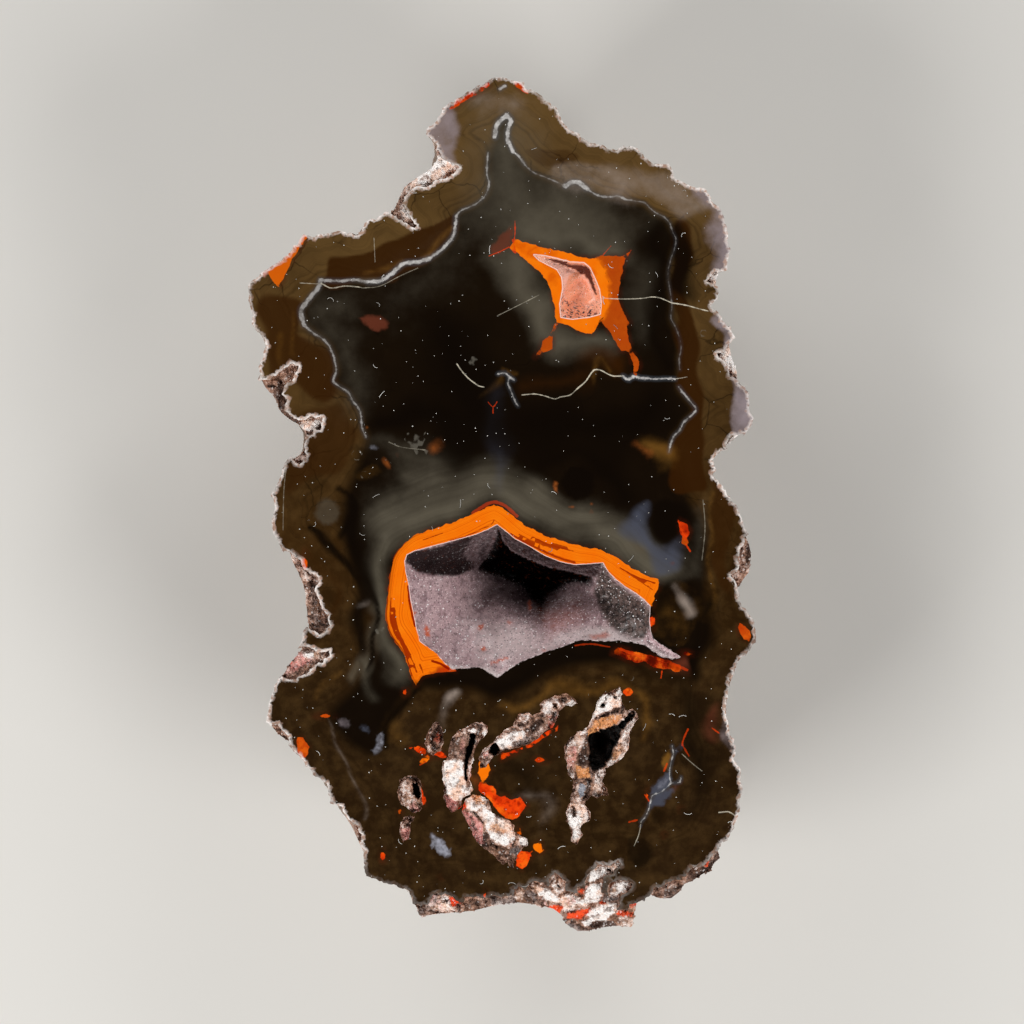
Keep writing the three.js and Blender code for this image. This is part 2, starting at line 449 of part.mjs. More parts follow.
// The nodule half, before anything is cut out of it
function noduleSolid() {
  const plan = [
    [0, 1], [0.01, 1], [0.03, 1],
    [0.07, 2], [0.13, 2], [0.21, 2], [0.31, 2], [0.43, 2], [0.56, 2], [0.7, 2],
    [0.85, 4], [1.0, 4], [1.13, 4], [1.26, 4], [1.38, 4], [1.49, 4],
  ];
  const rings = plan.map(([angle, everyNth]) => ring(angle, everyNth));
  const starts = rings.map((_, n) => rings.slice(0, n).reduce((sum, r) => sum + r.length, 0));
  const faces = [];
  for (let n = 0; n + 1 < rings.length; n++) {
    const [upper, lower] = [rings[n], rings[n + 1]];
    const per = upper.length / lower.length;
    for (let j = 0; j < lower.length; j++) {
      const lowHere = starts[n + 1] + j;
      const lowNext = starts[n + 1] + ((j + 1) % lower.length);
      for (let m = 0; m < per; m++) {
        const upHere = starts[n] + j * per + m;
        const upNext = starts[n] + ((j * per + m + 1) % upper.length);
        const lowFoot = m * 2 < per ? lowHere : lowNext;
        faces.push(upHere, upNext, lowFoot);
        if (m * 2 < per && (m + 1) * 2 >= per) faces.push(upNext, lowNext, lowHere);
      }
    }
  }
  const bottom = rings.at(-1);
  const bottomStart = starts.at(-1);
  const points = rings.flat();
  points.push([0, 0, stoneHeight - noduleDepth]);
  bottom.forEach((_, j) =>
    faces.push(bottomStart + j, bottomStart + ((j + 1) % bottom.length), points.length - 1),
  );
  const face = rings[0].map(([x, y]) => new THREE.Vector2(x, y));
  THREE.ShapeUtils.triangulateShape(face, []).forEach((corners) => faces.push(...corners));
  const geometry = new THREE.BufferGeometry();
  geometry.setAttribute("position", new THREE.Float32BufferAttribute(points.flat(), 3));
  geometry.setIndex(faces);
  const solid = solidOf(geometry);
  const table = prism([[-60, -60], [60, -60], [60, 60], [-60, 60]], 0, 60);
  return solid.intersect(table);
}

// Tool for all the broken rim and plumes: their outlines over one lumpy floor
function roughTool() {
  const lumpyFloor = (x, y) =>
    stoneHeight - ledgeDepth - ledgeRelief * noise(x, y, 3, 2.6) - ledgeGrain * noise(x, y, 7, 1.3);
  const top = () => stoneHeight + faceClearance;
  const everywhere = slab(faceOutline, 1.8, lumpyFloor, top, 0.5);
  const outlines = [...Object.values(plumes), ...Object.values(brokenRim)];
  const columns = outlines.map((outline) => prism(outline, toolFoot, stoneHeight + 1));
  return columns.reduce((sum, column) => sum.add(column)).intersect(everywhere);
}

function throatTool() {
  const floor = (x, y) =>
    stoneHeight - Math.min(throatDepth, 4 * distanceToOutline(x, y, throat) + ledgeDepth);
  const top = () => stoneHeight + faceClearance;
  const room = slab(throat, 1.0, floor, top, 0.3);
  return prism(throat, toolFoot, stoneHeight + 1).intersect(room);
}

// A hollow lined with crystals: the tool that cuts it, and the crust that lines it
function hollow(mouth, pitch, floorAt, height) {
  const near = 0.4 * crustBackPitch;
  const deepestNear = (x, y) =>
    Math.min(
      floorAt(x, y),
      floorAt(x + near, y),
      floorAt(x - near, y),
      floorAt(x, y + near),
      floorAt(x, y - near),
    );
  const back = (x, y) => deepestNear(x, y) - crustThickness;
  const behind = (x, y) => back(x, y) - crustGap;
  const open = () => stoneHeight + faceClearance;
  const foot = () => toolFoot;
  const tool = prism(mouth, toolFoot, stoneHeight + 1).intersect(
    slab(mouth, crustBackPitch, behind, open),
  );
  const lining = prism(inset(mouth, crustGap), toolFoot, stoneHeight - 0.1)
    .intersect(slab(mouth, pitch, foot, floorAt, 0.5, crystalOn(floorAt, pitch, height)))
    .intersect(slab(mouth, crustBackPitch, back, open));
  return { tool, lining };
}

// The largest piece of a solid that a cut has left in several
function largest(solid) {
  return solid.decompose().sort((a, b) => b.volume() - a.volume())[0];
}

function node(name, solid, material) {
  const mesh = new THREE.Mesh(geometryOf(solid), material);
  mesh.name = name;
  return mesh;
}

const darkAgate = new THREE.MeshStandardMaterial({ color: 0x2b2015, roughness: 0.25, metalness: 0 });
const greyDruse = new THREE.MeshStandardMaterial({ color: 0x8d7478, roughness: 0.45, metalness: 0 });
const pinkDruse = new THREE.MeshStandardMaterial({ color: 0xe9a08e, roughness: 0.5, metalness: 0 });

const crater = hollow(craterMouth, crustPitch, craterFloor, crystalHeight);
const pocket = hollow(pocketMouth, pocketPitch, pocketFloor, pocketCrystalHeight);
const agate = noduleSolid()
  .subtract(roughTool())
  .subtract(throatTool())
  .subtract(crater.tool)
  .subtract(pocket.tool);

const stone = new THREE.Group();
stone.add(node("agate", largest(agate), darkAgate));
stone.add(node("crater_crystals", largest(crater.lining), greyDruse));
stone.add(node("pocket_crystals", largest(pocket.lining), pinkDruse));

const footprint = new THREE.Box3().setFromObject(stone);
stone.position.x = -(footprint.min.x + footprint.max.x) / 2;
stone.position.y = -(footprint.min.y + footprint.max.y) / 2;

export default stone;
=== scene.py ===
# One half of a crater agate, lying on its rind with the polished cut face up, seen from straight above.
# Places on the cut face are millimetres from the same zero as the outline of the CAD solid.
import bpy
import bmesh
import math
import numpy as np
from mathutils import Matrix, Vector, noise
from mathutils.bvhtree import BVHTree
from mathutils.geometry import delaunay_2d_cdt
from mathutils.kdtree import KDTree


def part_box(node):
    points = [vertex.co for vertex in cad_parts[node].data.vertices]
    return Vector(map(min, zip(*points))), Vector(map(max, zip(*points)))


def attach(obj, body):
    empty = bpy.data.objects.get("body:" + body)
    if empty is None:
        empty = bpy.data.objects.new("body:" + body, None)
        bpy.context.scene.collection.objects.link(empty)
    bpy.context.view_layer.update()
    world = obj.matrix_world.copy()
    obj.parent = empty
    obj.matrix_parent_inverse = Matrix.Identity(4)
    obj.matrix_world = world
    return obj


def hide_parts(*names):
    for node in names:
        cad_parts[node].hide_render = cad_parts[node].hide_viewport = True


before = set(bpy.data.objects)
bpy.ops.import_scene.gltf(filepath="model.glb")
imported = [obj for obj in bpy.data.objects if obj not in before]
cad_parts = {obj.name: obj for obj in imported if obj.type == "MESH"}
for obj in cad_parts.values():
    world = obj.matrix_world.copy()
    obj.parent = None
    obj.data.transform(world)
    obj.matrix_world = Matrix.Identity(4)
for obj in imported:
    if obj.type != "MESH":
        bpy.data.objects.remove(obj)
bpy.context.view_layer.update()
mm = 0.001
outlineTip = 43.1  # the pointed end and the left shoulder of the outline, as the solid draws them
outlineLeft = -25.5
stoneLow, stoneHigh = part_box("agate")
shift = np.array([stoneLow.x / mm - outlineLeft, stoneHigh.y / mm - outlineTip])
faceHeight = stoneHigh.z / mm


def linear(hexColour):
    parts = [int(hexColour[n:n + 2], 16) / 255 for n in (1, 3, 5)]
    return [p / 12.92 if p <= 0.04045 else ((p + 0.055) / 1.055) ** 2.4 for p in parts] + [1.0]


def perMm(size):
    return 1 / (size * mm)  # noise scale, on coordinates in metres, for a pattern of this size


def addObject(name, data):
    made = bpy.data.objects.new(name, data)
    bpy.context.scene.collection.objects.link(made)
    return made


# Sets sockets, and links those that are given a node or an output
def plug(tree, node, sockets):
    for name, value in sockets.items():
        if isinstance(value, bpy.types.Node):
            value = value.outputs[0]
        if isinstance(value, bpy.types.NodeSocket):
            tree.links.new(value, node.inputs[name])
        else:
            node.inputs[name].default_value = value


# Adds a node with its settings and links
def addNode(tree, kind, sockets=None, **settings):
    made = tree.nodes.new(kind)
    for name, value in settings.items():
        setattr(made, name, value)
    plug(tree, made, sockets or {})
    return made


# A new material, its shader and its fields: patterns of noise, each as (size in mm, detail, roughness)
def startMaterial(name, grains):
    made = bpy.data.materials.new(name)
    made.use_nodes = True
    tree = made.node_tree
    place = addNode(tree, "ShaderNodeTexCoord").outputs["Object"]
    fields = {"place": place}
    for label, (size, detail, roughness) in grains.items():
        sockets = {"Vector": place, "Scale": perMm(size), "Detail": detail, "Roughness": roughness}
        fields[label] = addNode(tree, "ShaderNodeTexNoise", sockets)
    return made, tree, tree.nodes["Principled BSDF"], fields


# A value is a number, an output, a field's or attribute's name, or (value, other, share of other to add)
def valueOf(tree, fields, value):
    if isinstance(value, tuple):
        base, other, share = value
        sockets = {0: valueOf(tree, fields, other), 1: share, 2: valueOf(tree, fields, base)}
        return addNode(tree, "ShaderNodeMath", sockets, operation="MULTIPLY_ADD")
    if isinstance(value, str) and value not in fields:
        fields[value] = addNode(tree, "ShaderNodeAttribute", attribute_name=value).outputs["Fac"]
    return fields[value] if isinstance(value, str) else value


# A mask is a value, or (value, from, to) with 0 and 1 or other numbers to reach there, and the curve between
def maskOf(tree, fields, mask):
    if not isinstance(mask, tuple):
        return valueOf(tree, fields, mask)
    value, low, high, least, most, curve = mask + (0.0, 1.0, "LINEAR")[len(mask) - 3:]
    sockets = {0: valueOf(tree, fields, value), 1: low, 2: high, 3: least, 4: most}
    return addNode(tree, "ShaderNodeMapRange", sockets, interpolation_type=curve)


# Lays colours one over another: (colour, mask, mask and so on), each as far as all its masks let it show
def layColours(tree, fields, colour, layers):
    colour = linear(colour)
    for over, *masks in layers:
        share, *others = [maskOf(tree, fields, mask) for mask in masks]
        for other in others:
            share = addNode(tree, "ShaderNodeMath", {0: share, 1: other}, operation="MULTIPLY")
        over = linear(over) if isinstance(over, str) else over
        colour = addNode(tree, "ShaderNodeMix", {0: share, 6: colour, 7: over}, data_type="RGBA").outputs[2]
    return colour


# Camera and studio: straight down on the face, at the photo's 10 pixels to the millimetre
studio = {
    "viewWidth": 102.4, "viewCentre": (0.9, -0.4), "cameraHeight": 620, "sensor": 36, "clip": (0.01, 10),
    "floorSize": 900, "floorColour": "#DDDAD4", "floorRoughness": 0.85,
    # Softboxes, as azimuth, elevation, distance, size, watts
    "lamps": [(-52, 36, 420, 190, 1.16), (48, 34, 420, 190, 1.02),
              (150, 30, 440, 220, 0.6), (-140, 30, 440, 220, 0.6)],
    # The sky is dim overhead, so the polish mirrors nothing into the camera, and paler low down
    "skyColour": "#D8DCE4", "skyStrength": 0.15, "skyOverhead": (0.97, 0.02), "skyLow": (0.2, 1.0),
}


def buildCamera():
    camera = bpy.data.cameras.new("camera")
    camera.sensor_width = studio["sensor"]
    distance = studio["cameraHeight"] - faceHeight
    camera.lens = studio["sensor"] * distance / studio["viewWidth"]
    camera.clip_start, camera.clip_end = studio["clip"]
    holder = addObject("camera", camera)
    across, along = np.array(studio["viewCentre"]) + shift
    holder.location = (across * mm, along * mm, studio["cameraHeight"] * mm)
    bpy.context.scene.camera = holder


def buildStudio():
    floorMesh = bpy.data.meshes.new("studio_floor")
    half = studio["floorSize"] * mm / 2
    corners = [(-half, -half, 0), (half, -half, 0), (half, half, 0), (-half, half, 0)]
    floorMesh.from_pydata(corners, [], [(0, 1, 2, 3)])
    addObject("studio_floor", floorMesh)
    # Matt card: no gloss of its own
    board, tree, shader, _ = startMaterial("pale card floor", {})
    plug(tree, shader, {"Base Color": linear(studio["floorColour"]), "Roughness": studio["floorRoughness"]})
    floorMesh.materials.append(board)
    for azimuth, elevation, distance, size, watts in studio["lamps"]:
        light = bpy.data.lights.new("softbox", "AREA")
        light.shape = "SQUARE"
        light.size = size * mm
        light.energy = watts
        lamp = addObject("softbox", light)
        a, e = math.radians(azimuth), math.radians(elevation)
        direction = Vector((math.sin(a) * math.cos(e), -math.cos(a) * math.cos(e), math.sin(e)))
        lamp.location = direction * distance * mm + Vector((0, 0, faceHeight * mm))
        lamp.rotation_mode = "QUATERNION"
        lamp.rotation_quaternion = direction.to_track_quat("Z", "Y")
    world = bpy.data.worlds.new("studio air")
    world.use_nodes = True
    tree = world.node_tree
    tree.nodes.clear()
    direction = addNode(tree, "ShaderNodeTexCoord").outputs["Generated"]
    height = addNode(tree, "ShaderNodeSeparateXYZ", {0: direction}).outputs["Z"]
    (high, dim), (low, pale) = studio["skyOverhead"], studio["skyLow"]
    fade = maskOf(tree, {}, (height, high, low, dim, pale))
    strength = addNode(tree, "ShaderNodeMath", {0: fade, 1: studio["skyStrength"]}, operation="MULTIPLY")
    back = addNode(tree, "ShaderNodeBackground", {"Color": linear(studio["skyColour"]), "Strength": strength})
    addNode(tree, "ShaderNodeOutputWorld", {"Surface": back})
    bpy.context.scene.world = world
    bpy.context.scene.view_settings.view_transform = "Standard"
    print("studio ready")


# A line through the points, one place every step: rounded through the points, or straight between them
def evened(points, step, closed=False, rounded=True):
    corners = np.array(points, float)
    count = len(corners)
    out = []
    for n in range(count if closed else count - 1):
        b, c = corners[n], corners[(n + 1) % count]
        a = corners[n - 1] if closed or n else b - (c - b)
        d = corners[(n + 2) % count] if closed or n + 2 < count else c + (c - b)
        steps = max(1, round(np.hypot(*(c - b)) / step))
        bend = 2 * a - 5 * b + 4 * c - d
        for t in np.arange(steps) / steps:
            curve = 2 * b + (c - a) * t + bend * t * t + (3 * b - a - 3 * c + d) * t ** 3
            out.append(curve / 2 if rounded else b + (c - b) * t)
    if not closed:
        out.append(corners[-1])
    return np.array(out)


# Distance from each place to a line: the line stands as a fence in a search tree
def lineDistance(places, line, closed=False, reach=1e9):
    best = np.full(len(places), float(reach))
    low, high = line.min(axis=0) - reach, line.max(axis=0) + reach
    near = np.flatnonzero(((places > low) & (places < high)).all(axis=1))
    count = len(line)
    posts = [(x, y, z) for z in (-1.0, 1.0) for x, y in line]
    pairs = [(n, (n + 1) % count) for n in range(count if closed else count - 1)]
    fence = BVHTree.FromPolygons(posts, [(a, b, b + count, a + count) for a, b in pairs])
    found = [fence.find_nearest((x, y, 0.0), reach)[3] for x, y in places[near].tolist()]
    best[near] = [reach if far is None else far for far in found]
    return best


def insideOf(places, loop):
    inside = np.zeros(len(places), bool)
    x, y = places.T
    for a, b in zip(loop, np.roll(loop, -1, axis=0)):
        if a[1] != b[1]:
            inside ^= ((a[1] > y) != (b[1] > y)) & (x < (b[0] - a[0]) * (y - a[1]) / (b[1] - a[1]) + a[0])
    return inside


# Distance to a closed line, above zero inside it
def signedDistance(places, loop, reach):
    distance = lineDistance(places, loop, True, reach)
    near = np.flatnonzero(((places >= loop.min(axis=0)) & (places <= loop.max(axis=0))).all(axis=1))
    within = near[insideOf(places[near], loop)]
    distance = -distance
    distance[within] *= -1
    return distance


def smoothRise(value):
    t = np.clip(value, 0, 1)
    return t * t * (3 - 2 * t)


# Distance from each place to the nearest of some others
def gapTo(others, places):
    tree = KDTree(len(others))
    for n, place in enumerate(others):
        tree.insert(place, n)
    tree.balance()
    return np.array([tree.find(place)[2] for place in places])


# Places in staggered rows over a rectangle
def staggered(low, high, pitch):
    rows = np.arange(low[1], high[1], pitch * 0.866)
    columns = np.arange(low[0], high[0], pitch)
    return np.array([(x + n % 2 * pitch / 2, y) for n, y in enumerate(rows) for x in columns])


# Markings on the cut face.
# The wall line that parts the brown outer agate from the black heart, and the heart's edge below it
wallLeft = [
    (-1.5, 35.5), (-1.6, 34.3), (-1.6, 33.3), (-1.4, 32.6), (-1.6, 31.6), (-2.2, 30.8), (-3.1, 30.2),
    (-4.1, 29.8), (-4.7, 29.2), (-4.8, 28), (-5, 27.2), (-5.5, 26.5), (-6.3, 25.7), (-7.3, 25),
    (-8.5, 24.6), (-9.8, 24.5), (-10.5, 24), (-11.3, 23.3), (-12.3, 22.7), (-13.5, 22.6), (-14.8, 22.8),
    (-16.3, 22.7), (-18.3, 22.8), (-18.4, 22.1), (-19.1, 21.3), (-19.6, 20.6), (-20.2, 19.9), (-20.1, 19),
    (-19.9, 18.3), (-19.1, 17.6), (-18.3, 17.1), (-17.6, 16.5), (-17.1, 15.6), (-16.8, 14.6), (-16.7, 13.6),
    (-17, 12.7), (-16.3, 12.1), (-15.5, 11.6), (-15, 10.7), (-14.4, 9.9), (-14.2, 9.1), (-14.1, 8),
    (-13.7, 7.1),
]
wallRight = [
    (0.4, 39.3), (0.8, 38.8), (0.5, 37.8), (0.5, 36.8), (1, 35.7), (1.6, 35.1), (2.2, 34.3), (3, 33.6),
    (4.2, 33.1), (5.4, 32.6), (6.2, 32.2), (6.9, 32.6), (7.7, 32.5), (8.4, 31.9), (9.4, 31.3), (10.5, 31.1),
    (11.5, 31.2), (12.2, 30.9), (13.2, 30.7), (14.2, 30.5), (14.7, 30), (15.3, 29.5), (16.1, 29.1),
    (16.7, 28.5), (16.9, 27.8), (17.3, 26.8), (17.1, 25.8), (16.7, 24.6), (16.5, 23.3), (16.7, 21.8),
    (16.9, 20.3), (16.8, 19), (17.3, 18), (17.7, 16.8), (17.8, 15.8), (17.6, 14.8), (17.7, 13.8),
    (17.6, 12.1), (18.1, 11.4), (18.7, 10.7), (19.3, 9.9), (18.9, 9.3), (18.1, 8.6), (17.7, 7.8),
    (17.1, 7.2), (16.8, 6.5), (16.6, 5.6),
]
wallTip = [
    (0.4, 39.3), (-0.3, 38.7), (-0.7, 38.1), (-0.8, 37.1),
]
heartFoot = [
    (18, 2.5), (18.9, 0.5), (19.8, -0.8), (20.3, -2.5), (20.4, -5.2), (20.3, -7.4), (20.3, -10.2),
    (20.2, -13.2), (18.9, -15.7), (17, -16), (13, -15.6), (9, -15.5), (5, -16.5), (2, -18), (-0.6, -19.2),
    (-3, -18), (-6, -18), (-8.7, -17.8), (-10, -19.2), (-10.8, -20.4), (-11.6, -21.7), (-11.9, -23.2),
    (-12.8, -24.7), (-15.3, -23.7), (-17.3, -20.7), (-15, -18), (-13, -15), (-12.6, -13), (-13, -9.2),
    (-14.8, -5.5), (-16.3, -2.2), (-16, 0), (-15.8, 1.5), (-14.8, 4),
]
heart = wallRight + heartFoot + wallLeft[::-1] + wallTip[::-1][:-1]

# The orange band round the crater: its outer edge, and a way back that runs inside the crater's mouth
bandOuter = [
    (-4.9, -16.3), (-5.9, -16.4), (-7.5, -16.6), (-8.2, -16.9), (-8.7, -17.7), (-9.1, -17), (-9.4, -16.2),
    (-9.7, -15.1), (-10.2, -14.2), (-11.2, -12.8), (-11.6, -11.9), (-11.8, -10.6), (-11.6, -9),
    (-11.4, -7.2), (-11.2, -5.9), (-10.8, -4.6), (-9.9, -3.5), (-8.8, -2.7), (-7.3, -2.2), (-5.5, -1.6),
    (-3.7, -0.9), (-2.1, -0.1), (-0.9, 0.3), (0.1, -0.1), (1, -0.8), (2.3, -1.8), (3.9, -2.6), (5.2, -3.1),
    (6.8, -3.6), (8.4, -3.9), (9.9, -4.2), (11.3, -4.9), (12.6, -5.8), (14.2, -6.7), (15.8, -7.2),
    (15.5, -7.9), (15.2, -8.8), (14.9, -9.8),
]
bandBack = [
    (14, -10.2), (11, -9.5), (8, -8), (4, -7), (0, -5), (-7, -6.5), (-7, -12), (-4, -15),
]

# Areas of orange and red jasper, with their tone: 0 bright orange, 0.5 burnt orange, 1 red, 1.5 deep red
jasper = [
    (0, bandOuter + bandBack),
    (0, [(0.7, 26), (1.2, 26.9), (2.5, 26.5), (4.2, 26), (5.8, 25.7), (7.3, 25.2), (8.6, 25),
        (9.5, 24.9), (10.1, 24), (10.6, 22.5), (10.6, 20.5), (10.2, 19.2), (9.5, 18.6), (9.3, 17.9),
        (8.9, 17.4), (8.3, 17.5), (7.3, 17.8), (6.5, 18.3), (5.3, 18.5), (5.2, 19.8), (5, 20.8),
        (4.7, 21.8), (4.3, 22.8), (3.7, 23.7), (2.8, 24.3), (2, 25)]),
    (0.5, [(9.3, 25.1), (10, 25.3), (11, 25.2), (12, 25.2), (12.7, 25.6), (12.3, 25), (12, 24.2),
        (11.8, 23), (11.6, 21.7), (11.6, 20.7), (12, 19.7), (12.4, 18.9), (12.7, 18.4), (12.4, 18.2),
        (12.5, 17), (12.8, 16.2), (13, 15.5), (13.5, 14.9), (13.7, 14.2), (13.4, 13.6), (13.3, 13.1),
        (13.1, 13.4), (12.9, 14.9), (12.5, 15.8), (11.8, 15.7), (11.5, 16.2), (11.1, 16.9), (10.5, 17.9),
        (9.7, 18.6), (10.2, 19.2), (10.6, 20.5), (10.6, 22.5), (10.1, 24)]),
    (0.5, [(5.6, 18.4), (5, 17.4), (4.9, 15.7), (4.5, 15.8), (4, 15.5), (3.2, 15.1), (3.7, 15.9),
        (4, 16.7), (4.8, 17.5), (5.2, 18.4)]),
    (1.4, [(11.3, -13.9), (12.8, -14.3), (14.1, -14.6), (16.1, -15.1), (17.7, -15.7), (17.9, -16.3),
        (17.4, -16.6), (16.8, -16.1), (15.8, -16.1), (14.9, -15.9), (14.1, -15.3), (13.2, -15.5),
        (12.1, -15), (10.9, -14.5)]),
    (1, [(13, -14.45), (14.4, -14.75), (14.2, -15.2), (13.2, -14.95)]),
    (1, [(15.2, -15.2), (16.6, -15.4), (16.2, -15.9), (15, -15.6)]),
    (1.2, [(-6.8, -15.3), (-5.9, -15.2), (-5, -15.9), (-4.7, -16.3), (-5.6, -16.4), (-7.2, -16.5)]),
    (1.1, [(17.5, -1.2), (18.4, -1.6), (18.7, -2.4), (18.3, -3.2), (17.8, -2.6)]),
    (0.5, [(17.8, -2.7), (18.3, -2.8), (18.6, -3.4), (18.2, -3.9), (17.9, -3.5)]),
    (1, [(-9.4, -24), (-8.5, -23.8), (-7.7, -24.1), (-7.5, -24.8), (-8.3, -24.5)]),
    (1, [(-6.9, -24.4), (-6.3, -24.2), (-5.4, -24.9), (-6.3, -25), (-7, -24.8)]),
    (0.1, [(-7.3, -24.9), (-7.6, -25.4), (-8.3, -25.7), (-8.3, -25.4), (-7.8, -24.9), (-7.5, -24.7)]),
    (0.1, [(-2.3, -25.2), (-1.5, -25.4), (-1.2, -26.2), (-1.6, -27), (-1.9, -27.5), (-2.5, -26.7),
        (-2.4, -25.7)]),
    (1, [(-2.6, -27.4), (-1.3, -27.7), (-0.7, -27.9), (-0.7, -28.9), (0.2, -28.8), (0.9, -29.2),
        (1.7, -28.9), (2.4, -29.8), (1.9, -30.4), (1.4, -31), (0.9, -31.2), (0.2, -31), (-0.5, -30.4),
        (-1.1, -29.5), (-1.9, -28.6), (-2.5, -28.2)]),
    (1, [(1.4, -34.7), (1.9, -34.2), (2.7, -34.5), (2.9, -34.8), (2.5, -35.6), (1.9, -36.2), (1.3, -35.8)]),
    (0.1, [(3, -33.7), (3.7, -33.4), (4.1, -34.2), (3.7, -34.5), (3.1, -34.2)]),
    (0.4, [(1.4, -32.2), (1.7, -32), (1.8, -32.6), (1.4, -33)]),
    (1, [(-0.2, -24.5), (0.9, -24.4), (2.7, -23.5), (4.2, -22.4), (5.3, -22), (5.6, -21.6), (5.4, -22.3),
        (4.4, -22.8), (3, -23.8), (1.6, -24.3), (0.5, -24.9), (-0.2, -25.2)]),
    (1, [(-8.2, -27.8), (-7.9, -28.7), (-7.6, -29.5), (-8, -29.8), (-8.2, -29)]),
    (0.35, [(-23.6, 23.6), (-22.6, 24.3), (-21.7, 25.1), (-20.6, 26.6), (-19.9, 27.5), (-19.6, 27),
        (-20.5, 25.8), (-21.3, 24.4), (-21.9, 23), (-22.4, 22.1), (-22.9, 22.5)]),
    (0.8, [(-5.4, 39.8), (-4.7, 40.8), (-3.5, 41.4), (-2.3, 42), (-1.4, 42.7), (-1.3, 42.2),
        (-2.5, 41.4), (-3.7, 40.8), (-4.6, 40.1)]),
    (0.7, [(1, 42.8), (1.8, 42.5), (2.6, 41.9), (2.7, 41.3), (2, 41.7), (1.3, 42.1)]),
    (0.6, [(23.7, -11.5), (24.3, -12), (24.95, -12.5), (24.6, -13.3), (24.1, -13.1), (23.7, -12.6),
        (23.5, -12)]),
    (0.6, [(-20.6, -22.9), (-20, -23), (-19.4, -23.9), (-19.6, -24.9), (-20.2, -25.2), (-20.6, -24.2)]),
]
# Round spots of the same: tone, middle, reach across, reach along
jasperSpots = [
    (0.8, 3.7, -25.2, 0.55, 0.25), (0.5, -10.3, -30.4, 0.2, 0.22), (0.9, 12.5, -18.4, 0.5, 0.42),
    (0.9, -12, -34.8, 0.25, 0.4), (0.9, -1.8, -38.7, 0.15, 0.25), (0.9, 16.1, -32.7, 0.13, 0.13),
    (0.9, 17.8, -30.2, 0.12, 0.15), (0.9, -19.9, -5.6, 0.35, 0.8), (1, 14.85, -11.35, 0.3, 0.56),
    (1.5, 18.4, -14.6, 0.45, 0.2), (0.6, -17.8, -20.8, 0.5, 0.2), (0.8, -9.8, -18.4, 0.25, 0.3),
    (0.9, 14.4, -28.8, 0.12, 0.3), (0.9, 2.6, -21.3, 0.2, 0.12), (0.8, -6.2, -36.9, 0.1, 0.1),
]

# Thin lines, as (half width, strength, points). White ones are chalcedony, pale ones are healed cracks.
whiteLines = [
    (0.22, 0.9, wallTip), (0.2, 0.85, wallRight[:5]), (0.1, 0.6, wallRight[4:7]),
    (0.06, 0.3, wallRight[6:11]), (0.22, 0.8, wallRight[10:14]), (0.09, 0.5, wallRight[13:19]),
    (0.05, 0.4, wallRight[18:24]), (0.04, 0.26, wallRight[23:37]), (0.08, 0.65, wallRight[37:]),
    (0.14, 0.8, [(-0.3, 41.9), (0.2, 42.2)]), (0.08, 0.5, wallLeft[:9]), (0.15, 0.75, wallLeft[8:14]),
    (0.2, 0.85, wallLeft[13:20]), (0.15, 0.5, wallLeft[19:23]), (0.22, 0.5, wallLeft[22:29]),
    (0.09, 0.45, wallLeft[28:]), (0.09, 0.85, [(-0.5, 13.4), (0.2, 13.5), (0.8, 13), (1.1, 12.8)]),
    (0.07, 0.5, [(0.6, 12.9), (0.5, 12.4), (0.8, 11.7), (1.2, 10.7), (1.5, 10.2)]),
    (0.12, 1, [(12, 13.2), (12.6, 12.8), (13, 13.2), (13.7, 13), (14.4, 12.97)]),
    (0.08, 1, [(14.4, 12.97), (15.4, 12.9), (16.2, 12.95), (17.2, 12.9)]),
    (0.06, 0.8, [(16.9, -23.8), (17.05, -24.6)]),
    (0.035, 0.9, [(17.05, -24.6), (16.8, -25.5), (16.65, -26.3), (16.7, -27.2), (16.85, -27.5),
        (17.7, -27.4), (17.8, -26.9)]),
    (0.035, 0.9, [(16.85, -27.5), (16.4, -27.9), (15.7, -28.45), (15, -28.7), (14.8, -29.2), (14.6, -30),
        (14.3, -30.7), (13.8, -31.4)]),
]
